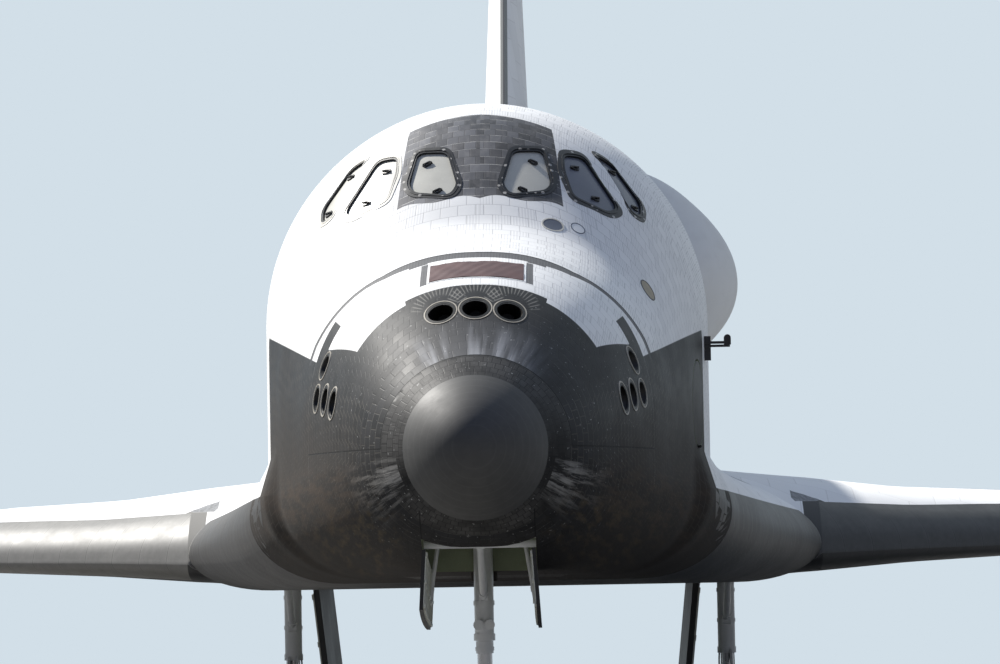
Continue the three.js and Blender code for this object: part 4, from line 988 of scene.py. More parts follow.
# The port shells are a darker copy of the starboard ones: painted shade.
EDGE_CARBON = {
    "stbd": carbon_material("edge_carbon_shells", (0.17, 0.166, 0.155), edge_panel_marks, (0.46, 0.56), 0.38),
    "port": carbon_material("edge_carbon_shells_painted_shade", (0.060, 0.060, 0.058), edge_panel_marks,
                            (0.46, 0.56), 0.30)}
FIN_LOOK = fin_material()
FRAME_LOOK = frame_material()
NOZZLE = nozzle_material()
COVER = plain_material("window_cover_paint", (0.50, 0.49, 0.44), 0.34, mottle=0.08, scale=2.5)
# A darker copy of the cover paint: painted shade on the port middle and side covers.
COVER_PAINTED_SHADE = plain_material("window_cover_paint_painted_shade", (0.13, 0.14, 0.17), 0.30, mottle=0.12, scale=2.5)
# A pale finish: the real colour of a small port's ring, and a painted glare of the sun on the starboard
# middle and side window frames.
PALE_RING_AND_PAINTED_GLARE = plain_material("pale_ring_and_window_frame_painted_glare", (0.56, 0.54, 0.48), 0.45, mottle=0.14, scale=9.0)
TAN = plain_material("tan_port_cover", (0.30, 0.25, 0.17), 0.5, mottle=0.3, scale=8.0)
SLATE = plain_material("slate_recess", (0.10, 0.115, 0.15), 0.5, mottle=0.2, scale=8.0)
# Black: the real colour of the cover handles, and painted shade in the window recesses.
BLACK_HANDLES_AND_RECESS_SHADE = plain_material("black_handles_and_painted_recess_shade", (0.012, 0.012, 0.013), 0.38, mottle=0.2)
INNER = plain_material("primed_structure", (0.26, 0.29, 0.20), 0.75, mottle=0.15, scale=3.0,
                       Specular_IOR_Level=0.12)
JET_METAL = plain_material("jet_liner", (0.018, 0.017, 0.016), 0.5, metal=0.4, mottle=0.3)
JET_RIM = plain_material("jet_rim", (0.34, 0.31, 0.26), 0.5, mottle=0.25, scale=10.0)
MAROON = plain_material("brown_cover_cloth", (0.085, 0.040, 0.040), 0.62, mottle=0.15, scale=3.0)
RADIATOR = plain_material("radiator_face", (0.62, 0.64, 0.66), 0.18, metal=0.75, mottle=0.05, scale=1.2)
WHITE_PAINT = plain_material("white_paint", (0.80, 0.80, 0.79), 0.45, mottle=0.05)
CABIN = plain_material("cabin_paint", (0.42, 0.45, 0.46), 0.55, mottle=0.12)
STEEL = plain_material("bare_steel", (0.52, 0.52, 0.53), 0.28, metal=0.95, mottle=0.08)
DARK_METAL = plain_material("dark_metal", (0.045, 0.045, 0.048), 0.4, metal=0.6, mottle=0.2)
GEAR = plain_material("gear_paint", (0.72, 0.73, 0.74), 0.35, mottle=0.07, scale=4.0)
TYRE = plain_material("tyre_rubber", (0.022, 0.022, 0.023), 0.78, mottle=0.25, scale=5.0)
WHEEL_PAINT = plain_material("wheel_paint", (0.50, 0.51, 0.52), 0.38, metal=0.2, mottle=0.08)
LINER = plain_material("door_liner", (0.55, 0.56, 0.50), 0.5, mottle=0.08)
HOSE = plain_material("hose_rubber", (0.02, 0.02, 0.021), 0.6, mottle=0.15)


def dress(made, *materials, corner=32, mapped=True):
    """Smooth shading, the skin's flat coordinates, and the inner finish on faces that lie inside the skin."""
    mesh = made.data
    mesh.materials.clear()
    for material in materials:
        mesh.materials.append(material)
    mesh.shade_smooth()
    mesh.set_sharp_from_angle(angle=math.radians(corner))
    body = body_points(read_all(mesh.vertices, "co", 3))
    loops = read_all(mesh.loops, "vertex_index", kind=int)
    totals = read_all(mesh.polygons, "loop_total", kind=int)
    face = np.repeat(np.arange(len(totals)), totals)
    centres = np.stack([np.bincount(face, body[loops, i]) for i in range(3)], axis=1) / totals[:, None]
    if mapped:
        layer = mesh.uv_layers.new(name="skin")
        layer.data.foreach_set("uv", skin_map(body[loops], centres[face]).ravel())
    slots = np.zeros(len(totals), int)
    if len(materials) > 1:
        slots[skin_distance(centres) < -INSIDE_SKIN] = 1
    mesh.polygons.foreach_set("material_index", slots)
    mesh.update()
    return made


def coat(made, material, corner=32):
    """One finish all over, without the skin's flat coordinates."""
    return dress(made, material, corner=corner, mapped=False)


def coat_all(parts, material):
    return [coat(part, material) for part in parts]


def stand_for(made, body, slot, *nodes):
    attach(made, body)
    if nodes:
        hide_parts(*nodes)
    return made


def outboard(sign, near, far=FAR):
    """The lower and the higher x of what lies between two distances from the centreline, on one side."""
    return sorted((sign * near, sign * far))


def on_both_sides(make):
    """Runs a maker for port and starboard: make(side name, sign)."""
    for side, sign in SIDES:
        make(side, sign)


# ---- Body pieces
MODULE = {"front": 965, "rear": 3735, "floor": 1780}
CABIN_ROOM = {"front": 4750, "rear": 8690, "floor": 1450}
FORWARD_END = 8815
MID_END = 27230
BASE = 32765
BAY = {"front": 8930, "rear": 27110, "radius": 2335, "axis": 3430}
SILL = 3940  # lower edge of the payload doors
SIDE = 2740  # half width that the body keeps; what is outside it belongs to the wing
HATCH = {"y": 6805, "z": 2360, "radius": 508, "gap": 22}
NOSE_WELL = {"half": 610, "front": 1330, "rear": 3790, "roof": 1250}
DOOR_HINGE = {"x": 2692, "z": 3934, "radius": 24, "half": 180, "slope": 0.0}
DOOR_HINGE_PLACES = (9400, 18000, 26600)
HATCH_HINGE = {"x": 2548, "z": 1846, "radius": 16, "half": 170, "slope": 0.0}
UMBILICAL_HINGE = {"x": 1284, "z": 77, "radius": 20, "half": 60, "slope": 60 / 2030}
UMBILICAL = {"in": 1290, "out": 2450, "front": 27330, "rear": 28600, "roof": 700}
FLAP = {"y": 32945, "z": 560, "radius": 250, "lugs": (-2000, -700, 700, 2000)}
# Jets of the module: x, y and z of the mouth, the way it points, and its radius
COVERED_JETS_Y = 2945
JET_HOLE = {"depth": 330, "height": 420, "throat": 0.55, "flare": 1.57}
JET_RINGS = [("rim", 1.33, 8, 0.93, JET_RIM), ("lip", 1.19, 4, 0.85, JET_METAL)]  # size, height, hole
JETS = [
    [0, 1820, 3288, (0, -1, 0.25), 140], [372, 1820, 3250, (0.1, -1, 0.25), 140],
    [0, 2945, 3785, (0, 0, 1), 120], [366, 2945, 3765, (0.05, 0, 1), 120],
    [1765, 3243, 2762, (1, 0, 0.1), 125], [1820, 3295, 2394, (1, 0, 0), 125],
    [1560, 2511, 2332, (1, -0.2, -0.5), 115], [1682, 2881, 2373, (1, -0.2, -0.5), 115],
]
WINDOWS = {
    "front": [(380, 5386), (750, 5392), (862, 4963), (785, 4844), (345, 4793), (248, 4937)],
    "middle": [(970, 5345), (1216, 5325), (1634, 4635), (1500, 4580), (1092, 4775), (981, 5135)],
    "side": [(1343, 5376), (1537, 5272), (1907, 4737), (1902, 4556), (1770, 4630)],
}


def stations(first, last, step):
    """Even stations that also pass through the section table's own rows."""
    own = [y for y in (*BODY_ROWS[:, 0], *REAR_ROWS[:, 0]) if first < y < last]
    even = np.linspace(first, last, max(2, round((last - first) / step) + 1))
    even = [y for y in even if min((abs(y - o) for o in own), default=FAR) > step * 0.3]
    return np.array(sorted([*even, *own]))


def body_solid(name, first, last, step, inset=0.0):
    return loft(name, body_rings(stations(first, last, step), inset))


def slab(name, y0, y1, z0=-FAR, z1=FAR, x0=-FAR, x1=FAR):
    return block(name, x0, x1, y0, y1, z0, z1)


def hinge_bar(name, hinge, y, sign=1, extra=0):
    reach = hinge["half"] + extra
    rise = reach * hinge["slope"]
    radius = hinge["radius"] * (1.033 if extra else 1)
    x, z = sign * hinge["x"], hinge["z"]
    return tube(name, (x, y - reach, z - rise), (x, y + reach, z + rise), radius, sides=14)


def attachment(x, y, low, high, radius):
    """A round seat on the belly, where the orbiter is held from below."""
    return tube("attachment", (x, y, low), (x, y, high), radius, sides=14)


def hatch_disc(name, radius):
    return tube(name, (1500, HATCH["y"], HATCH["z"]), (3200, HATCH["y"], HATCH["z"]), radius, sides=96)


# Nose cap
cap_stations = CAP_END * (np.linspace(0.03, 1, 30) ** 2)
cap_stations[-1] = CAP_END - GAP
nose_cap = dress(loft("nose_cap_shell", body_rings(cap_stations)), NOSE_CARBON)
stand_for(nose_cap, "orbiter", "nose_carbon", "nose_cap")

# Forward thruster module with its jets
module = body_solid("thruster_module_shell", MODULE["front"] + GAP, MODULE["rear"] - GAP, 70)
combine(module, slab("above", 0, FAR, MODULE["floor"]), "INTERSECT")
rims = []
for x, y, z, direction, radius in JETS:
    for sign in ((1, -1) if x else (1,)):
        out = unit((direction[0] * sign, direction[1], direction[2]))
        mouth = np.array([x * sign, y, z], float)
        combine(module, tube("jet_hole", mouth - out * JET_HOLE["depth"], mouth + out * JET_HOLE["height"],
                             radius * JET_HOLE["throat"], radius * JET_HOLE["flare"], 48))
        if y == COVERED_JETS_Y:
            continue
        u, v = square_to(out)
        circle = [(math.cos(a), math.sin(a)) for a in np.linspace(0, 2 * math.pi, 48, endpoint=False)]
        face = lambda lift: lambda flat: onto_skin(mouth + flat[:, :1] * u + flat[:, 1:] * v, out, lift, 700)
        for name, size, high, hole, finish in JET_RINGS:
            rims.append(coat(plate(name, np.array(circle) * radius * size, face(high), face(-15), hole, 2),
                             finish))
dress(module, SKIN_LOOK, JET_METAL)
stand_for(module, "orbiter", "white_tile", "forward_thruster_module")
stand_for(join("jet_rims", rims), "orbiter", "bare_metal")

# Cloth cover over the upward jets
CLOTH = {"half": 520, "front": 2610, "rear": 3300, "middle": 2955, "high": 11}


def cover_face(lift):
    """A face above the skin by lift, with soft folds where it is the cloth's own upper face."""
    def face(flat):
        up = onto_skin(np.column_stack([flat, np.full(len(flat), 3700)]), (0, -0.35, 1), lift)
        folds = 3 * np.sin(flat[:, 0] / 61 + flat[:, 1] / 90) + 2 * np.sin(flat[:, 0] / 23 - flat[:, 1] / 47)
        up[:, 2] += folds if lift == CLOTH["high"] else 0
        return up
    return face


def closely_spaced(outline, parts):
    """More points along each side of a closed outline."""
    after = np.roll(outline, -1, axis=0)
    share = np.linspace(0, 1, parts, endpoint=False)[:, None]
    return np.concatenate([a + (b - a) * share for a, b in zip(outline, after)])


cover_outline = closely_spaced(np.array([
    (-CLOTH["half"], CLOTH["front"]), (CLOTH["half"], CLOTH["front"]),
    (CLOTH["half"], CLOTH["rear"]), (-CLOTH["half"], CLOTH["rear"])], float), 24)
cloth = plate("jet_cover_cloth", cover_outline, cover_face(CLOTH["high"]), cover_face(1), rings=16)
stand_for(coat(cloth, MAROON), "orbiter", "white_tile")
cover_middle = np.array([0, CLOTH["middle"]])
rim_outline = (cover_outline - cover_middle) * np.array([1.044, 1.07]) + cover_middle
cover_rim = plate("jet_cover_rim", rim_outline, cover_face(4.9), cover_face(-3), hole=0.956, rings=2)
stand_for(coat(cover_rim, WHITE_PAINT), "orbiter", "white_tile")


# Windows: openings, black rings in their recesses that are painted shade, frames, covers and their handles
COVER_INSET = 27
WINDOW_CORNER = 105
# The handles lie along a window's long way. The grip is a pierced diamond, the bar has (across, height) rows
HANDLE = {
    "place": 0.52, "radius": 8,
    "grip": ((34, -20), (42, 38), (6, 62), (-34, 20), (-42, -38), (-6, -62)),
    "bar": ((-58, -26), (-50, 2), (0, 8), (50, 2), (58, -26)),
}



def window_frame_of(corners, sign=1):
    """A window's centre, its normal, its two plane axes and its rounded outline in that plane."""
    guess = onto_skin([(x, 0, z) for x, z in corners], (0, -1, 0), reach=9000)
    centre = guess.mean(axis=0)
    normal = np.zeros(3)
    for i in range(len(guess)):
        normal += np.cross(guess[i] - centre, guess[(i + 1) % len(guess)] - centre)
    normal = unit(normal if normal[1] < 0 else -normal)
    u = unit(np.cross([0, 0, 1], normal))
    v = np.cross(normal, u)
    flat = np.stack([(guess - centre) @ u, (guess - centre) @ v], axis=1)
    flip = np.array([sign, 1, 1])
    return centre * flip, normal * flip, u * flip, v * flip, corners_rounded(flat, WINDOW_CORNER)


def moved_in(outline, distance):
    """An outline moved towards its middle by a distance."""
    centre = outline.mean(axis=0)
    d = outline - centre
    size = np.linalg.norm(d, axis=1, keepdims=True)
    return centre + d * (size - distance) / size


forward = body_solid("crew_section_shell", CAP_END, FORWARD_END, 75)
combine(forward, slab("module_room", MODULE["front"], MODULE["rear"], MODULE["floor"] - GAP))
room = body_solid("cabin_room", BODY_ROWS[6, 0] - 600, FORWARD_END, 200, SKIN)
combine(room, slab("cabin_limits", CABIN_ROOM["front"], CABIN_ROOM["rear"], CABIN_ROOM["floor"], FAR),
        "INTERSECT")
combine(forward, room)

recess_shade_rings, frames, frames_painted_glare, handles = [], [], [], []
for name, corners in WINDOWS.items():
    for side, sign in SIDES:
        centre, normal, u, v, outline = window_frame_of(corners, sign)
        at = lambda flat, high: centre + flat[:, :1] * u + flat[:, 1:2] * v + normal * high
        combine(forward, loft("window_hole", [at(outline, 260), at(outline, -330)]))
        face = lambda lift: lambda flat: onto_skin(at(flat, 0), normal, lift, 300)
        cover = plate("window_cover_" + name + "_" + side + "_panel", moved_in(outline, COVER_INSET),
                      face(-26), face(-50), rings=6)
        shaded = name != "front" and side == "port"
        # The port middle and side covers take the darker copy of the cover paint, as painted shade.
        coat(cover, COVER_PAINTED_SHADE if shaded else COVER)
        stand_for(cover, "orbiter", "window_cover", f"window_cover_{name}_{side}")
        size = np.linalg.norm(outline, axis=1).mean()
        # A black ring lines each window's recess down to the cover: painted shade in the recess.
        recess_shade_rings.append(plate("recess_shade_ring", moved_in(outline, 1), face(3), face(-52), hole=1 - COVER_INSET / size,
                             rings=2))
        # The starboard middle and side frames take the pale finish: a painted glare of the sun on frames that
        # are black.
        bands = frames if shaded or name == "front" else frames_painted_glare
        wide = 84 if shaded else 66
        for reach, inside, high, rings in ((wide, wide - 4, 7, 4), (22, 18, 12, 2)):
            bands.append(plate("band", moved_in(outline, -reach), face(high), face(-20),
                               hole=1 - inside / (size + reach), rings=rings))
        long_way = np.linalg.svd(outline - outline.mean(axis=0))[2][0]
        across_way = np.array([-long_way[1], long_way[0]])
        reach = np.abs(outline @ long_way).max()
        for share in (HANDLE["place"], -HANDLE["place"]):
            spot = outline.mean(axis=0) + long_way * reach * share
            diamond = np.array([spot + long_way * a + across_way * b for a, b in HANDLE["grip"]])
            handles.append(plate("grip", diamond, face(-8), face(-27), hole=0.5, rings=2))
            ends = [spot + across_way * b for b, _ in HANDLE["bar"]]
            path = np.concatenate([onto_skin(at(end[None], 0), normal, high, 300)
                                   for end, (_, high) in zip(ends, HANDLE["bar"])])
            handles.append(rod("grip_bar", path, HANDLE["radius"], 10))

combine(forward, hatch_disc("hatch_hole", HATCH["radius"] + HATCH["gap"]))
combine(forward, block("nose_well", -NOSE_WELL["half"], NOSE_WELL["half"], NOSE_WELL["front"],
                       NOSE_WELL["rear"],
                       -FAR, NOSE_WELL["roof"]))
combine(forward, attachment(0, 4000, 330, 700, 150), "UNION")
combine(forward, hinge_bar("hatch_hinge", HATCH_HINGE, HATCH["y"]), "UNION")
dress(forward, SKIN_LOOK, INNER)
stand_for(forward, "orbiter", "white_tile", "forward_fuselage")
for name, parts, finish, slot in (
        ("window_gaskets", recess_shade_rings, BLACK_HANDLES_AND_RECESS_SHADE, "window_cover"),
        ("window_frames", frames, FRAME_LOOK, "black_tile"),
        ("pale_window_frames", frames_painted_glare, PALE_RING_AND_PAINTED_GLARE, "white_tile"),
        ("window_cover_handles", handles, BLACK_HANDLES_AND_RECESS_SHADE, "bare_metal")):
    stand_for(join(name, coat_all(parts, finish)), "orbiter", slot)

# Small round ports on the port side: two ahead of the windows and one below them
def skin_spot(name, centre, size, material, lift, hole=0.0, sides=48):
    """A thin oval plate, or a ring, that lies on the skin at a point; size is its width and length."""
    centre = np.asarray(centre, float)
    step = 60.0
    slope = [(skin_distance((centre + d)[None])[0] - skin_distance((centre - d)[None])[0])
             for d in np.eye(3) * step]
    out = unit(slope)
    u = unit(np.cross([0, 0, 1], out))
    v = np.cross(out, u)
    turn = np.linspace(0, 2 * math.pi, sides, endpoint=False)
    outline = np.column_stack([np.cos(turn) * size[0] / 2, np.sin(turn) * size[1] / 2])
    face = lambda high: lambda flat: onto_skin(centre + flat[:, :1] * u + flat[:, 1:2] * v, out, high, 400)
    return coat(plate(name, outline, face(lift), face(-15), hole=hole, rings=3 if hole else 5), material)


ports = [
    skin_spot("port", (850, 5240, 4428), (235, 215), SLATE, 3),
    skin_spot("ring", (850, 5240, 4428), (275, 255), PALE_RING_AND_PAINTED_GLARE, 6, 0.86),
    skin_spot("port", (1139, 5361, 4385), (150, 165), WHITE_PAINT, 3),
    skin_spot("ring", (1139, 5361, 4385), (178, 194), SLATE, 5, 0.90),
    skin_spot("port", (1938, 5408, 3650), (215, 255), TAN, 4),
    skin_spot("ring", (1938, 5408, 3650), (245, 285), DARK_METAL, 6, 0.90),
]
stand_for(join("small_ports", ports), "orbiter", "white_tile")

# Side hatch
hatch = body_solid("side_hatch_panel", 6100, 7500, 60)
combine(hatch, body_solid("hatch_inside", 6000, 7600, 60, SKIN))
combine(hatch, hatch_disc("hatch_disc", HATCH["radius"]), "INTERSECT")
combine(hatch, hinge_bar("hatch_seat", HATCH_HINGE, HATCH["y"], extra=20))
dress(hatch, SKIN_LOOK, INNER)
stand_for(hatch, "side_hatch", "white_tile", "side_hatch")

# Payload bay section
mid = body_solid("payload_section_shell", FORWARD_END + GAP, MID_END - GAP, 600)
combine(mid, slab("width", 0, FAR, x0=-SIDE, x1=SIDE), "INTERSECT")
combine(mid, tube("bay", (0, BAY["front"], BAY["axis"]), (0, BAY["rear"], BAY["axis"]), BAY["radius"],
                  sides=48))
combine(mid, block("bay_mouth", -BAY["radius"], BAY["radius"], BAY["front"], BAY["rear"], BAY["axis"], FAR))
combine(mid, slab("door_room", BAY["front"] - 20, BAY["rear"] + 20, SILL - 12, FAR))
for y in DOOR_HINGE_PLACES:
    for _, sign in SIDES:
        combine(mid, hinge_bar("barrel", DOOR_HINGE, y, sign), "UNION")
dress(mid, SIDE_BLANKET, INNER)
stand_for(mid, "orbiter", "white_blanket", "mid_fuselage")


def payload_door(side, sign):
    door = body_solid("payload_door_" + side + "_panel", BAY["front"] - 50, BAY["rear"] + 50, 800)
    combine(door, body_solid("door_inside", BAY["front"] - 90, BAY["rear"] + 90, 800, SKIN))
    combine(door, block("door_limits", *outboard(sign, 6), BAY["front"], BAY["rear"], SILL, FAR), "INTERSECT")
    for y in DOOR_HINGE_PLACES:
        combine(door, hinge_bar("seat", DOOR_HINGE, y, sign, extra=20))
    dress(door, BLANKET, INNER)
    stand_for(door, "payload_door_" + side, "white_blanket", "payload_door_" + side)


def radiator(side, sign):
    panel = body_solid("radiator_" + side + "_panel", BAY["front"] + 100, BAY["rear"] - 100, 1500, SKIN + GAP)
    combine(panel, body_solid("radiator_inside", BAY["front"], BAY["rear"], 1500, SKIN + 60))
    combine(panel, block("radiator_limits", *outboard(sign, 300), BAY["front"] + 200, BAY["rear"] - 200,
                         SILL + 560, FAR), "INTERSECT")
    coat(panel, RADIATOR)
    stand_for(panel, "payload_door_" + side, "radiator_metal", "radiator_" + side)


on_both_sides(payload_door)
on_both_sides(radiator)

# Aft section
def flap_tube(name, x, half, radius, sides):
    """A round bar on the body flap's hinge line."""
    return tube(name, (x - half, FLAP["y"], FLAP["z"]), (x + half, FLAP["y"], FLAP["z"]), radius, sides=sides)


aft = body_solid("aft_section_shell", MID_END, BASE, 500)
combine(aft, flap_tube("flap_cove", 0, 4000, FLAP["radius"] + 10, 64))
for _, sign in SIDES:
    combine(aft, block("umbilical_well", *outboard(sign, UMBILICAL["in"], UMBILICAL["out"]),
                       UMBILICAL["front"], UMBILICAL["rear"], -FAR, UMBILICAL["roof"]))
    combine(aft, attachment(sign * 2585, 27484, 20, 400, 110), "UNION")
    middle = (UMBILICAL["front"] + UMBILICAL["rear"]) / 2
    combine(aft, hinge_bar("umbilical_barrel", UMBILICAL_HINGE, middle, sign), "UNION")
for x in FLAP["lugs"]:
    combine(aft, [flap_tube("lug", x, 70, 110, 24), flap_tube("pin", x, 140, 45, 24)], "UNION")
    combine(aft, block("arm", x - 70, x + 70, BASE - 300, FLAP["y"], FLAP["z"] - 70, FLAP["z"] + 70), "UNION")
dress(aft, SIDE_BLANKET, INNER)
stand_for(aft, "orbiter", "white_blanket", "aft_fuselage")


# ---- Wings
def table(rows):
    return np.array(rows, float)


def looked_up(rows, at):
    return smooth_lookup(rows, at)[:, 0]


WING = {"kinkX": 4775, "kinkY": 20040, "tipX": 11895, "rootTrailY": 32770, "trailSlope": 0.17733,
        "leadZ": 597, "trailZ": 457, "trailRise": 0.0606}
# Inboard of the kink the section's own front lies farther ahead, by a * x + b * x squared
INBOARD_SWEEP = (0.56, 0.00071)
WING_THICKNESS = table([[2740, 1800], [4775, 1480], [6300, 1190], [8230, 1010], [11895, 432]])
UPPER_FORM = table([[0, -0.13], [0.006, 0.08], [0.02, 0.28], [0.06, 0.57], [0.13, 0.82], [0.25, 0.96],
                    [0.4, 1],
                    [0.6, 0.8], [0.8, 0.4], [1, 0.04]])
LOWER_FORM = table([[0, 0.36], [0.006, 0.55], [0.02, 0.72], [0.06, 0.90], [0.13, 1], [0.25, 1], [0.4, 1],
                    [0.6, 0.88], [0.8, 0.45], [1, 0.04]])
UPPER_SHARE = 0.7  # how much of the thickness lies above the section's own line
EDGE_DEPTH = 560 * math.sqrt(2)  # of the leading edge's shells, measured aft
ELEVON = {"y": 29260, "inX": 2972, "splitX": 7925, "outX": 11790, "inZ": 636, "outZ": 914, "inRadius": 338,
          "outRadius": 178, "cove": 12, "endGap": 15, "pin": 55, "upperLip": 0.92, "lowerLip": 0.57}
MAIN_WELL = {"inX": 2830, "outX": 4260, "front": 20450, "rear": 24350, "roof": 1050}


def lead_y(x):
    return WING["kinkY"] + max(0, x - WING["kinkX"])


def trail_y(x):
    return WING["rootTrailY"] - WING["trailSlope"] * x


def wing_ring(x, sign):
    """The wing's section at one distance from the centreline, over the top and back below."""
    inboard = max(0, WING["kinkX"] - x)
    nominal = lead_y(x) - INBOARD_SWEEP[0] * inboard - INBOARD_SWEEP[1] * inboard**2
    front = WING["kinkY"] - 15 if inboard > 0 else lead_y(x)
    share = np.concatenate([0.06 * np.linspace(0, 1, 14, endpoint=False) ** 1.7, np.linspace(0.06, 1, 30)])
    y = front + share * (trail_y(x) - front)
    at = (y - nominal) / (trail_y(x) - nominal)
    line = WING["leadZ"] + at * (WING["trailZ"] + WING["trailRise"] * (x - SIDE) - WING["leadZ"])
    thick = np.interp(x, WING_THICKNESS[:, 0], WING_THICKNESS[:, 1])
    upper = line + UPPER_SHARE * thick * looked_up(UPPER_FORM, at)
    lower = line - (1 - UPPER_SHARE) * thick * looked_up(LOWER_FORM, at)
    across = np.full(len(y), sign * x)
    return np.concatenate([np.column_stack([across, y, upper]), np.column_stack([across, y, lower])[::-1]])


def wing_form(name, sign):
    places = sorted({SIDE + GAP, *np.linspace(SIDE + 200, 4700, 7), *np.linspace(4775, 11895, 26), 8230})
    return loft(name, [wing_ring(x, sign) for x in places])


def along_hinge(x, inner, outer):
    """A measure at one distance from the centreline, between its values at the elevons' two ends."""
    return inner + (outer - inner) * (x - ELEVON["inX"]) / (ELEVON["outX"] - ELEVON["inX"])


def hinge_z(x):
    return along_hinge(x, ELEVON["inZ"], ELEVON["outZ"])


def hinge_radius(x):
    return along_hinge(x, ELEVON["inRadius"], ELEVON["outRadius"])


def hinge_round(name, x0, x1, sign, radius0, radius1, sides=72):
    return tube(name, (sign * x0, ELEVON["y"], hinge_z(x0)), (sign * x1, ELEVON["y"], hinge_z(x1)), radius0,
                radius1, sides)


def hinge_slab(name, x0, x1, sign):
    """Everything between two planes square to the elevon hinge line."""
    rise = (ELEVON["outZ"] - ELEVON["inZ"]) / (ELEVON["outX"] - ELEVON["inX"])
    corner = lambda x, z: (sign * (x - rise * z + rise * hinge_z(x)), z)
    outline = [corner(x0, -9000), corner(x1, -9000), corner(x1, 9000), corner(x0, 9000)]
    return prism(name, outline, 1, -FAR, FAR)


def elevon_bay(name, sign):
    """Room for the elevons' round noses, with the wing's lips cut back."""
    x0, x1 = ELEVON["inX"] - ELEVON["endGap"], ELEVON["outX"] + ELEVON["endGap"]
    middle = hinge_z((x0 + x1) / 2)
    cove = hinge_round(name, x0 - 500, x1 + 500, sign, hinge_radius(x0 - 500) + ELEVON["cove"],
                       hinge_radius(x1 + 500) + ELEVON["cove"])

    def lip(share, z0, z1):
        line = lambda x: (sign * x, ELEVON["y"] - share * hinge_radius(x))
        return prism("lip", [line(x0 - 500), line(x1 + 500), (sign * (x1 + 500), FAR),
                             (sign * (x0 - 500), FAR)], 2, z0, z1)
    combine(cove, [lip(ELEVON["upperLip"], middle, FAR), lip(ELEVON["lowerLip"], -FAR, middle + 1)], "UNION")
    return combine(cove, hinge_slab("bay_ends", x0, x1, sign), "INTERSECT")


def edge_zone(name, back, sign):
    x0, x1 = WING["kinkX"] + 20, WING["tipX"] + 20
    outline = [(sign * x0, 0), (sign * x0, lead_y(x0) + back), (sign * x1, lead_y(x1) + back), (sign * x1, 0)]
    return prism(name, outline, 2, -FAR, FAR)


def elevon(name, x0, x1, pin_x, side, sign):
    made = wing_form(name + "_" + side + "_panel", sign)
    combine(made, block("blade_zone", -FAR, FAR, ELEVON["y"], FAR, -FAR, FAR), "INTERSECT")
    combine(made, hinge_round("nose", x0 - 400, x1 + 400, sign, hinge_radius(x0 - 400),
                              hinge_radius(x1 + 400)), "UNION")
    combine(made, hinge_slab("ends", x0, x1, sign), "INTERSECT")
    combine(made, hinge_round("bore", pin_x - 120, pin_x + 120, sign, ELEVON["pin"] + 1, ELEVON["pin"] + 1,
                              32))
    stand_for(coat(made, ELEVON_LOOK, corner=28), name + "_" + side, "white_blanket", name + "_" + side)


def wing(side, sign):
    made = wing_form("wing_" + side + "_skin", sign)
    combine(made, elevon_bay("elevon_bay", sign))
    glove = body_solid("glove", CAP_END + 200, WING["kinkY"], 260)
    combine(glove, block("glove_side", *outboard(sign, SIDE + GAP), 0, FAR, -FAR, FAR), "INTERSECT")
    combine(made, glove, "UNION")
    combine(made, block("main_well", *outboard(sign, MAIN_WELL["inX"], MAIN_WELL["outX"]),
                        MAIN_WELL["front"], MAIN_WELL["rear"], -FAR, MAIN_WELL["roof"]))
    combine(made, edge_zone("edge_room", EDGE_DEPTH + GAP, sign))
    for x in (ELEVON["inX"] - ELEVON["endGap"], ELEVON["outX"] + ELEVON["endGap"]):
        combine(made, hinge_round("pin", x - 90, x + 90, sign, ELEVON["pin"], ELEVON["pin"], 32), "UNION")
    stand_for(coat(made, WING_LOOK, corner=28), "orbiter", "white_blanket", "wing_" + side)
    edge = combine(wing_form("leading_edge_" + side + "_shells", sign), edge_zone("edge", EDGE_DEPTH, sign),
                   "INTERSECT")
    stand_for(coat(edge, EDGE_CARBON[side], corner=28), "orbiter", "edge_carbon", "wing_leading_edge_" + side)
    elevon("elevon_inner", ELEVON["inX"], ELEVON["splitX"] - ELEVON["endGap"], ELEVON["inX"], side, sign)
    elevon("elevon_outer", ELEVON["splitX"] + ELEVON["endGap"], ELEVON["outX"], ELEVON["outX"], side, sign)


on_both_sides(wing)

# ---- Engine pods: station, centre x, centre z, half size along and across the tilt
POD_TILT = -0.76
POD_ROWS = table([
    [27235, 2330, 5080, 90, 70], [27500, 2380, 5130, 450, 350], [28100, 2440, 5230, 850, 700],
    [29260, 2400, 5380, 1350, 1110], [30800, 2330, 5480, 1720, 1410], [32590, 2288, 5544, 1893, 1540],
    [33400, 2500, 5580, 1560, 1330], [33860, 2540, 5590, 1300, 1110]])
POD_END = 33860


def engine_pod(side, sign):
    angle = np.linspace(0, 2 * math.pi, 96, endpoint=False)
    fuller = lambda v: np.sign(v) * np.abs(v) ** 0.85
    run, rise = math.cos(POD_TILT), math.sin(POD_TILT)
    places = sorted({*POD_ROWS[:, 0], *np.linspace(POD_ROWS[0, 0], POD_END, 44)})
    rings = []
    for y, (cx, cz, along, across) in zip(places, smooth_lookup(POD_ROWS, places)):
        a, b = along * fuller(np.cos(angle)), across * fuller(np.sin(angle))
        rings.append(np.column_stack([sign * (cx + a * run - b * rise), np.full(96, y),
                                      cz + a * rise + b * run]))
    pod = loft("engine_pod_" + side + "_shell", rings)
    combine(pod, body_solid("body_side", 26000, BASE, 500))
    stand_for(coat(pod, BLANKET), "orbiter", "white_blanket", "engine_pod_" + side)


on_both_sides(engine_pod)

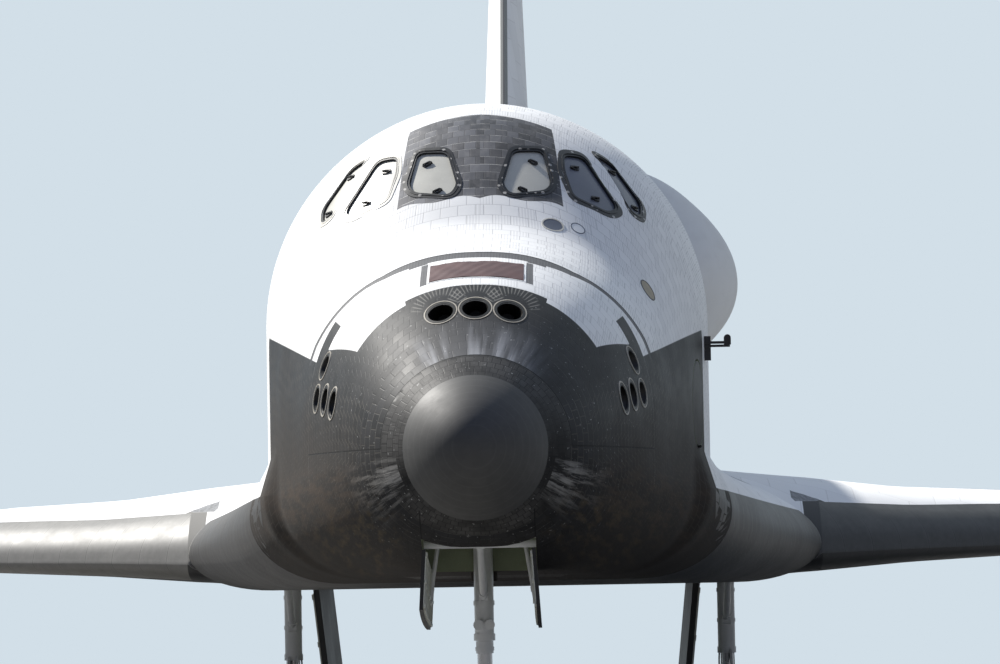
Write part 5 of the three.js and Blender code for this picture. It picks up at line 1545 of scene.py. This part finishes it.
# ---- Fin, in metres of height and millimetres of half thickness
FIN_ROWS = {"root": (5700, 26160, 33180, 478), "tip": (13990, 34511, 37267, 193)}
FIN_SHAPE = table([[0, 0.04], [0.06, 0.3], [0.3, 0.78], [0.6, 1], [1, 0.1]])
FIN_FOOT = {"bodyFront": 25500, "pastBase": 6460}
RUDDER = {"lowY": 31965, "lowZ": 7950, "highY": 35515, "highZ": 13055, "lowRadius": 372, "highRadius": 205,
          "cove": 10, "endGap": 15, "pin": 50, "spine": 60}


def fin_solid(name):
    share = np.concatenate([0.3 * np.linspace(0, 1, 14, endpoint=False) ** 1.8, np.linspace(0.3, 1, 15)])
    half_form = looked_up(FIN_SHAPE, share)
    rings = []
    for t in np.linspace(0, 1, 9):
        z, lead, trail, half = [a + (b - a) * t for a, b in zip(FIN_ROWS["root"], FIN_ROWS["tip"])]
        side = np.column_stack([half * half_form, lead + (trail - lead) * share, np.full(len(share), z)])
        rings.append(np.concatenate([side, (side * [-1, 1, 1])[::-1]]))
    return loft(name, rings)


def rudder_point(s, d):
    """The y and z of a point s along the rudder's hinge line and d behind it."""
    along = unit((RUDDER["highY"] - RUDDER["lowY"], RUDDER["highZ"] - RUDDER["lowZ"]))
    return (RUDDER["lowY"] + along[0] * s + along[1] * d, RUDDER["lowZ"] + along[1] * s - along[0] * d)


RUDDER_LENGTH = math.hypot(RUDDER["highY"] - RUDDER["lowY"], RUDDER["highZ"] - RUDDER["lowZ"])


def rudder_radius(s):
    return RUDDER["lowRadius"] + (RUDDER["highRadius"] - RUDDER["lowRadius"]) * s / RUDDER_LENGTH


def rudder_zone(name, s0, s1, ahead, x0=-FAR, x1=FAR):
    outline = [rudder_point(s0, ahead(s0)), rudder_point(s1, ahead(s1)), rudder_point(s1, 9000),
               rudder_point(s0, 9000)]
    return prism(name, outline, 0, x0, x1)


def rudder_cone(name, s0, s1, extra):
    return tube(name, (0, *rudder_point(s0, 0)), (0, *rudder_point(s1, 0)), rudder_radius(s0) + extra,
                rudder_radius(s1) + extra, 72)


fin = fin_solid("fin_shell")
rudder_ends = (-RUDDER["endGap"], RUDDER_LENGTH + RUDDER["endGap"])
combine(fin, rudder_zone("rudder_room", *rudder_ends, lambda s: -0.6 * rudder_radius(s)))
combine(fin, rudder_cone("rudder_cove", *rudder_ends, RUDDER["cove"]))
combine(fin, body_solid("body_below", FIN_FOOT["bodyFront"], BASE, 500))
combine(fin, block("behind_base", -FAR, FAR, BASE - 5, FAR, -FAR, FIN_FOOT["pastBase"]))
combine(fin, block("ahead_of_fin", -FAR, FAR, 0, BAY["rear"] + 25, 0, FAR))
for s in rudder_ends:
    pin = tube("rudder_pin", (0, *rudder_point(s - 80, 0)), (0, *rudder_point(s + 80, 0)), RUDDER["pin"],
               sides=32)
    combine(fin, pin, "UNION")
stand_for(coat(fin, FIN_LOOK, corner=28), "orbiter", "white_blanket", "vertical_fin")


def rudder_panel(side, sign):
    panel = fin_solid("rudder_panel_" + side + "_shell")
    combine(panel, rudder_zone("panel_zone", 0, RUDDER_LENGTH, lambda s: RUDDER["spine"] + GAP,
                               *outboard(sign, 4)),
            "INTERSECT")
    stand_for(coat(panel, FIN_LOOK, corner=28), "rudder_panel_" + side, "white_blanket",
              "rudder_panel_" + side)


on_both_sides(rudder_panel)

# ---- Engines
NOZZLE_OUTER = table([[1250, 1020], [1750, 930], [2000, 700], [2150, 640], [2600, 840], [3300, 1050],
                      [4267, 1194]])
NOZZLE_INNER = table([[2150, 420], [2600, 790], [3300, 1000], [4267, 1150]])
POD_NOZZLE_OUTER = table([[0, 420], [350, 330], [600, 390], [1000, 500], [1500, 585]])
POD_NOZZLE_INNER = table([[400, 160], [600, 350], [1000, 462], [1500, 550]])
NOZZLE_BANDS = (2350, 2520, 2700, 2890, 3090, 3300, 3520, 3750, 3980, 4215)
# Name, x, y and z of the start, and how far it points up and outwards, in degrees
ENGINES = [("main_engine_top", 0, 30735, 4520, 16, 0), ("main_engine_port", 1345, 31325, 1970, 10, 3.5),
           ("main_engine_stbd", -1345, 31325, 1970, 10, -3.5)]


def bell_outline(outer, inner, bands, band_height):
    """Distance and radius rows of a bell, closed on its axis: out along the outside, back by the inside."""
    first, last = outer[0, 0], outer[-1, 0]
    at = sorted({*np.linspace(first, last, 40), *[b + o for b in bands for o in (-22, -18, 18, 22)]})
    rise = [band_height if any(abs(a - b) <= 19 for b in bands) else 0 for a in at]
    outside = [(a, r + h) for a, r, h in zip(at, looked_up(outer, at), rise)]
    back = np.linspace(last, inner[0, 0], 30)
    inside = list(zip(back, looked_up(inner, back)))
    return [(first, 0.5), *outside, *inside, (inner[0, 0], 0.5)]


for name, x, y, z, pitch, yaw in ENGINES:
    up, out = math.radians(pitch), math.radians(yaw)
    way = (math.sin(out) * math.cos(up), math.cos(out) * math.cos(up), math.sin(up))
    outline = bell_outline(NOZZLE_OUTER, NOZZLE_INNER, NOZZLE_BANDS, 16)
    bell = turned(name + "_bell", outline, (x, y, z), way, 120)
    combine(bell, block("inside_body", -FAR, FAR, 0, BASE + GAP, -FAR, FAR))
    stand_for(coat(bell, NOZZLE, corner=35), "orbiter", "nozzle_metal", name)


def pod_nozzle(side, sign):
    outline = bell_outline(POD_NOZZLE_OUTER, POD_NOZZLE_INNER, (420, 1460), 8)
    bell = turned("pod_nozzle_" + side + "_bell", outline, (sign * 2235, POD_END + GAP - 250, 5765),
                  (sign * 0.12, 1, 0.25), 96)
    combine(bell, block("inside_pod", -FAR, FAR, 0, POD_END + GAP, -FAR, FAR))
    stand_for(coat(bell, NOZZLE, corner=35), "orbiter", "nozzle_metal", "pod_nozzle_" + side)


on_both_sides(pod_nozzle)

# ---- Landing gear: wheels with grooved tyres and bolted hubs, struts, links and doors
MAIN_GEAR = {"x": 3455, "y": 23800, "tyre": 565, "width": 400, "spacing": 800, "axle": 85}
NOSE_GEAR = {"x": 0, "y": 3632, "tyre": 406.4, "width": 220, "spacing": 560, "axle": 60}
# Places on each strut: heights, and distances behind its axis
NOSE_STRUT = {"end": -330, "trunnion": 820, "brace": (-1500, 760), "knee": (300, -690)}
MAIN_STRUT = {"end": -1150, "trunnion": 650, "brace": (-2100, 690), "knee": (-440, -1500)}
DATUM_HEIGHT = 1349.7  # of the body's datum above the ground, at the nose tip


def axle_z(gear):
    return (gear["tyre"] - DATUM_HEIGHT - gear["y"] * math.sin(NOSE_DOWN)) / math.cos(NOSE_DOWN)


def tyre(gear, x):
    """A tyre with a rounded shoulder and four grooves round its tread, open in the middle for its hub."""
    half, radius = gear["width"] / 2, gear["tyre"]
    side = [(-0.82, 0.53), (-0.95, 0.62), (-1.0, 0.74), (-0.97, 0.85), (-0.88, 0.93), (-0.72, 0.978)]
    outline = [(-0.7, 0.0), *side]
    for middle in (-0.5, -0.17, 0.17, 0.5):
        outline += [(middle - 0.05, 0.999), (middle - 0.04, 0.972), (middle + 0.04, 0.972),
                    (middle + 0.05, 0.999)]
    outline += [(-at, high) for at, high in side[::-1]] + [(0.7, 0.0)]
    z = axle_z(gear)
    made = turned("tyre", [(at * half, high * radius) for at, high in outline], (x, gear["y"], z), (1, 0, 0),
                  72)
    combine(made, tube("hub_room", (x - half * 2, gear["y"], z), (x + half * 2, gear["y"], z), radius * 0.515,
                       sides=72))
    return coat(made, TYRE)


def hub(gear, x):
    """A dished hub with a ring of bolts on each face."""
    half, rim = gear["width"] / 2, gear["tyre"] * 0.512
    side = [(-0.86, 0.0), (-0.86, 0.17), (-0.78, 0.22), (-0.46, 0.30), (-0.40, 0.66), (-0.52, 0.78),
            (-0.76, 0.86),
            (-0.80, 0.985), (-0.70, 1.0)]
    outline = [*side, *[(-at, high) for at, high in side[::-1]]]
    z = axle_z(gear)
    parts = [turned("hub", [(at * half, high * rim) for at, high in outline], (x, gear["y"], z), (1, 0, 0),
                    64)]
    for turn in np.arange(10) * math.pi / 5:
        place = (gear["y"] + math.cos(turn) * rim * 0.47, z + math.sin(turn) * rim * 0.47)
        parts.append(tube("bolt", (x - half * 0.50, *place), (x + half * 0.50, *place), rim * 0.045, sides=6))
    return coat_all(parts, WHEEL_PAINT)


def twin_wheels(gear, sign=1):
    centre, half, z = gear["x"] * sign, gear["spacing"] / 2, axle_z(gear)
    parts = [coat(tube("axle", (centre - half, gear["y"], z), (centre + half, gear["y"], z), gear["axle"],
                       sides=48),
                   STEEL)]
    for x in (centre - half, centre + half):
        parts += [tyre(gear, x), *hub(gear, x)]
    return parts


def strut_foot(gear, sign, radius, half, seat, seat_height):
    """The round foot of a strut, with collars at its ends, the piston's seat and a bore for the axle."""
    z, x = axle_z(gear), gear["x"] * sign
    outline = [(-half, radius * 0.92), (-half + 22, radius), (-half + 60, radius),
               (-half + 62, radius * 0.93),
               (half - 62, radius * 0.93), (half - 60, radius), (half - 22, radius), (half, radius * 0.92)]
    made = turned("foot", outline, (x, gear["y"], z), (1, 0, 0), 48)
    bore = tube("bore", (x - 900, gear["y"], z), (x + 900, gear["y"], z), gear["axle"] * 1.011, sides=48)
    combine(made, tube("piston_seat", (x, gear["y"], z), (x, gear["y"], z + seat_height), *seat, 48), "UNION")
    return combine(made, bore)


def collared(name, start, end, radius, collars):
    """A round bar between two points with collars: their place along it, half length and extra radius."""
    length = np.linalg.norm(np.subtract(end, start))
    outline = [(0, radius)]
    for at, reach, more in collars:
        outline += [(at - reach, radius), (at - reach, radius + more), (at + reach, radius + more),
                    (at + reach, radius)]
    return turned(name, [*outline, (length, radius)], start, np.subtract(end, start), 48)


def link(name, start, end, radius, eye):
    """A round link with an eye at each end."""
    start, end = np.asarray(start, float), np.asarray(end, float)
    parts = [collared(name, start, end, radius, [(130, 30, radius * 0.25)])]
    for place in (start, end):
        parts.append(tube("eye", place - (eye * 0.8, 0, 0), place + (eye * 0.8, 0, 0), eye, sides=24))
    return parts


def arm(name, start, end, width, thick):
    """A flat tapered arm between two points at one distance from the centreline."""
    start, end = np.asarray(start, float), np.asarray(end, float)
    way = unit(end - start)
    flat = np.array([0, -way[2], way[1]])
    rings = []
    for share, size in ((0, 0.8), (0.12, 1.0), (0.88, 0.72), (1, 0.55)):
        at = start + (end - start) * share
        rings.append([at + flat * width * size * a + np.array([thick * b, 0, 0]) for a, b in
                      ((0.5, 0.5), (0.5, -0.5), (-0.5, -0.5), (-0.5, 0.5))])
    return loft(name, rings)


def scissors(gear, x, sides, upper, knee, lower, wide, thick):
    """Pairs of arms that meet at a knee; each end is a distance behind the strut and a height."""
    y = gear["y"]
    return [arm("scissor", (x + side, y + behind, high), (x + side, y + knee[0], knee[1]), width, thick)
            for side in sides for (behind, high), width in ((upper, wide), (lower, wide - 10))]


def hanging_door(x, front, rear, drop, thick, lean, liner, sign):
    """An open gear door: a tiled shell, a pale liner on its inner face and ribs across the liner."""
    ends = np.linspace(front, rear, 9)
    edge = body_row(ends)[:, 3] - 5

    def leaf(x0, x1, low, high, y=ends, top=edge):
        at = lambda share, side: sign * (side + lean * share)
        return loft("leaf", [[(at(low, x0), a, t - drop * low), (at(low, x1), a, t - drop * low),
                              (at(high, x1), a, t - drop * high), (at(high, x0), a, t - drop * high)]
                             for a, t in zip(y, top)])
    made = coat(leaf(x, x + thick, 0, 1), UNDER_TILES)
    inner = (x - liner, x) if liner > 0 else (x + thick, x + thick - liner)
    parts = [made, coat(leaf(*inner, 0.04, 0.96), LINER)]
    deep = (x - 2.4 * liner, x) if liner > 0 else (x + thick, x + thick - 2.4 * liner)
    for share in np.linspace(0.06, 0.94, 6):
        y = front + (rear - front) * share
        place = np.array([y - 22, y + 22])
        parts.append(coat(leaf(*deep, 0.05, 0.95, place, np.interp(place, ends, edge)), LINER))
    for low in (0.05, 0.50, 0.90):
        parts.append(coat(leaf(*deep, low, low + 0.05), LINER))
    return parts


def gear_doors(kind, side, sign, leaf, low_eye, high_eye, y, radius, eye):
    """A door with the link that holds it; the eyes are a distance from the centreline and a height."""
    doors = hanging_door(*leaf, sign)
    doors += coat_all(link("door_link", (sign * low_eye[0], y, low_eye[1]),
                           (sign * high_eye[0], y, high_eye[1]),
                           radius, eye), GEAR)
    stand_for(join(kind + "_gear_doors_" + side, doors), "orbiter", "black_tile", kind + "_gear_door_" + side)


NOSE_Y, MAIN_Y = NOSE_GEAR["y"], MAIN_GEAR["y"]
well_half = NOSE_WELL["half"] - GAP
brace_y, brace_z = NOSE_Y + NOSE_STRUT["brace"][0], NOSE_STRUT["brace"][1]
painted = [
    collared("nose_cylinder", (0, NOSE_Y, NOSE_STRUT["end"]), (0, NOSE_Y, NOSE_WELL["roof"] - GAP), 108,
             [(40, 38, 12), (420, 26, 10), (1150, 60, 12)]),
    tube("nose_trunnion", (-well_half, NOSE_Y, NOSE_STRUT["trunnion"]),
         (well_half, NOSE_Y, NOSE_STRUT["trunnion"]),
         75, sides=40),
    *link("nose_brace", (0, NOSE_Y - 60, 150), (0, brace_y, brace_z), 42, 60),
    tube("nose_brace_bar", (-well_half, brace_y, brace_z), (well_half, brace_y, brace_z), 50, sides=32),
    *[tube("lamp", (s * 62, NOSE_Y - 96, -150), (s * 62, NOSE_Y - 158, -150), 46, 58, 32) for s in (1, -1)],
]
stand_for(join("nose_gear_upper_strut", coat_all(painted, GEAR)), "orbiter", "gear_paint", "nose_gear_strut")
foot = strut_foot(NOSE_GEAR, 1, 125, 120, (104, 92), 230)
foot_z = axle_z(NOSE_GEAR)
knee_y, knee_z = NOSE_Y + NOSE_STRUT["knee"][0], NOSE_STRUT["knee"][1]
leg = [
    coat(foot, GEAR),
    coat(tube("piston", (0, NOSE_Y, foot_z + 110), (0, NOSE_Y, NOSE_STRUT["end"] - GAP), 84, sides=48),
         STEEL),
    *coat_all(scissors(NOSE_GEAR, 0, (46, -46), (80, -380), NOSE_STRUT["knee"], (90, foot_z + 150), 105, 34),
              GEAR),
    coat(tube("scissor_pin", (-80, knee_y, knee_z), (80, knee_y, knee_z), 30, sides=24), STEEL),
    coat(collared("steering_collar", (0, NOSE_Y, -470), (0, NOSE_Y, NOSE_STRUT["end"] - 6), 98,
                  [(50, 20, 8)]), GEAR),
]
stand_for(join("nose_gear_lower_leg", leg), "nose_gear", "gear_paint", "nose_gear_leg")
stand_for(join("nose_gear_wheels", twin_wheels(NOSE_GEAR)), "nose_wheels", "tyre_rubber", "nose_wheels")


def side_gear(side, sign):
    """One main gear with its wheels and door, and the nose gear's door on the same side."""
    x, z = MAIN_GEAR["x"] * sign, axle_z(MAIN_GEAR)
    brace_y, brace_z = MAIN_Y + MAIN_STRUT["brace"][0], MAIN_STRUT["brace"][1]
    knee_y, knee_z = MAIN_Y + MAIN_STRUT["knee"][0], MAIN_STRUT["knee"][1]
    painted = [
        strut_foot(MAIN_GEAR, sign, 165, 150, (134, 112), 290),
        collared("cylinder", (x, MAIN_Y, MAIN_STRUT["end"]), (x, MAIN_Y, MAIN_WELL["roof"] - GAP), 138,
                 [(50, 48, 12), (520, 30, 10), (1000, 30, 10), (1800, 90, 12)]),
        tube("trunnion", (sign * (MAIN_WELL["inX"] + GAP), MAIN_Y, MAIN_STRUT["trunnion"]),
             (sign * (MAIN_WELL["outX"] - GAP), MAIN_Y, MAIN_STRUT["trunnion"]), 95, sides=40),
        *link("drag_brace", (x, MAIN_Y - 100, -620), (x, brace_y, brace_z), 55, 84),
        tube("brace_bar", (x - 500, brace_y, brace_z), (x + 500, brace_y, brace_z), 70, sides=32),
        *scissors(MAIN_GEAR, x, (-62, 62), (-110, -1120), MAIN_STRUT["knee"], (-120, z + 180), 140, 40),
    ]
    parts = coat_all(painted, GEAR)
    parts.append(coat(tube("piston", (x, MAIN_Y, z + 130), (x, MAIN_Y, MAIN_STRUT["end"] + 50), 105,
                           sides=48), STEEL))
    parts.append(coat(tube("scissor_pin", (x - 100, knee_y, knee_z), (x + 100, knee_y, knee_z), 34, sides=24),
                      STEEL))
    for out in (-1, 1):
        hose = [(x + out * 96, MAIN_Y + 96, -900), (x + out * 118, MAIN_Y + 190, -1250),
                (x + out * 112, MAIN_Y + 185, -1600), (x + out * 100, MAIN_Y + 120, z + 60)]
        parts.append(coat(rod("brake_hose", smooth_path(hose), 13, 12), HOSE))
    stand_for(join("main_gear_struts_" + side, parts), "orbiter", "gear_paint", "main_gear_strut_" + side)
    stand_for(join("main_gear_wheels_" + side, twin_wheels(MAIN_GEAR, sign)), "main_wheels_" + side,
              "tyre_rubber",
              "main_wheels_" + side)
    gear_doors("main", side, sign,
               (MAIN_WELL["inX"] + 10, MAIN_WELL["front"] + 60, MAIN_WELL["rear"] - 60, 1600, 90, -170, -14),
               (MAIN_WELL["inX"] + 60, -300), (MAIN_WELL["inX"] + 330, MAIN_WELL["roof"] - 60), 21400, 28, 44)
    gear_doors("nose", side, sign,
               (NOSE_WELL["half"] - 45, NOSE_WELL["front"] + 40, NOSE_WELL["rear"] - 40, 640, 40, 40, 9),
               (NOSE_WELL["half"] - 30, 120), (NOSE_WELL["half"] - 200, NOSE_WELL["roof"] - 40), 2900, 24, 34)


on_both_sides(side_gear)

# ---- Finishes of the CAD pieces that show as they are
KEPT = {
    "cabin_interior": CABIN, "side_arm": DARK_METAL, "umbilical_door_port": UNDER_TILES,
    "umbilical_door_stbd": UNDER_TILES,
    "body_flap": UNDER_TILES, "rudder_spine": STEEL,
}
for name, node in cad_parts.items():
    if node.hide_render:
        continue
    node.data.materials.clear()
    node.data.materials.append(KEPT[name])

# ---- Floor, light and camera
FLOOR_REACH = 400
BACKDROP = (0.645, 0.737, 0.807)
AHEAD_LOW, AHEAD_HIGH = (0.045, 0.052, 0.065), (0.165, 0.225, 0.40)
LIGHTS = [  # power, width in degrees, travel, colour
    ("key", 6.4, 3, (0.60, -0.34, -0.72), (1.0, 0.97, 0.92)),
    ("fill", 0.15, 60, (-0.5, 0.8, -0.3), (0.9, 0.95, 1.0)),
]
CAMERA = {"yaw": -0.01492476, "pitch": 0.04746662, "roll": -0.01844617, "place": [935.7, -43229.3, 884.2],
          "lens": 150.85, "sensor": 36, "lowest": 0.06, "distance": 49.0}


def build_stage():
    """A pale floor, a pale backdrop behind the object, a dim cool sky ahead of it, and two lights."""
    mesh = bpy.data.meshes.new("floor")
    r = FLOOR_REACH
    mesh.from_pydata([(-r, -r, 0), (r, -r, 0), (r, r, 0), (-r, r, 0)], [], [(0, 1, 2, 3)])
    floor = new_object("floor", mesh)
    mesh.materials.append(plain_material("pale_floor", (0.21, 0.206, 0.198), 0.9, mottle=0.02, scale=0.3))
    world = bpy.data.worlds.new("studio")
    bpy.context.scene.world = world
    world.use_nodes = True
    n = Nodes(world.node_tree)
    way = n.add("ShaderNodeSeparateXYZ", {0: n.add("ShaderNodeTexCoord").outputs["Generated"]}).outputs
    behind = n.ramp(way[1], -0.35, 0.75)
    ahead = n.blend(n.ramp(way[2], 0.05, 0.60), AHEAD_LOW, AHEAD_HIGH)
    n.feed(world.node_tree.nodes["Background"].inputs[0], n.blend(behind, ahead, BACKDROP))
    bpy.context.scene.view_settings.view_transform = "Standard"
    for name, power, angle, direction, colour in LIGHTS:
        light = bpy.data.lights.new(name, "SUN")
        light.energy = power
        light.angle = math.radians(angle)
        light.color = colour
        lamp = bpy.data.objects.new(name, light)
        bpy.context.scene.collection.objects.link(lamp)
        lamp.rotation_mode = "QUATERNION"
        lamp.rotation_quaternion = Vector(direction).to_track_quat("-Z", "Y")


def build_camera():
    """The camera, 43 m ahead of the nose and close to the floor, looks slightly up through a long lens."""
    yaw, pitch, roll = CAMERA["yaw"], CAMERA["pitch"], CAMERA["roll"]
    ahead = np.array([math.sin(yaw), math.cos(yaw), 0])
    right = np.array([math.cos(yaw), -math.sin(yaw), 0])
    up = np.array([0, 0, 1.0])
    look = ahead * math.cos(pitch) + up * math.sin(pitch)
    top = up * math.cos(pitch) - ahead * math.sin(pitch)
    side = right * math.cos(roll) + top * math.sin(roll)
    top = top * math.cos(roll) - right * math.sin(roll)
    axes = np.stack([TURN @ side, TURN @ top, -(TURN @ look)], axis=1)
    data = bpy.data.cameras.new("camera")
    data.sensor_width = CAMERA["sensor"]
    data.lens = CAMERA["lens"]
    data.clip_start = 1
    data.clip_end = 2000
    camera = bpy.data.objects.new("camera", data)
    bpy.context.scene.collection.objects.link(camera)
    place = placed(CAMERA["place"])
    # lifted above the floor, and turned down by as much as that raises its view
    rise = CAMERA["lowest"] - place[2]
    place = place + np.array([0, 0, rise])
    turn = Matrix(axes.tolist()) @ Matrix.Rotation(-rise / CAMERA["distance"], 3, "X")
    camera.matrix_world = Matrix.Translation(place.tolist()) @ turn.to_4x4()
    bpy.context.scene.camera = camera


build_stage()
build_camera()
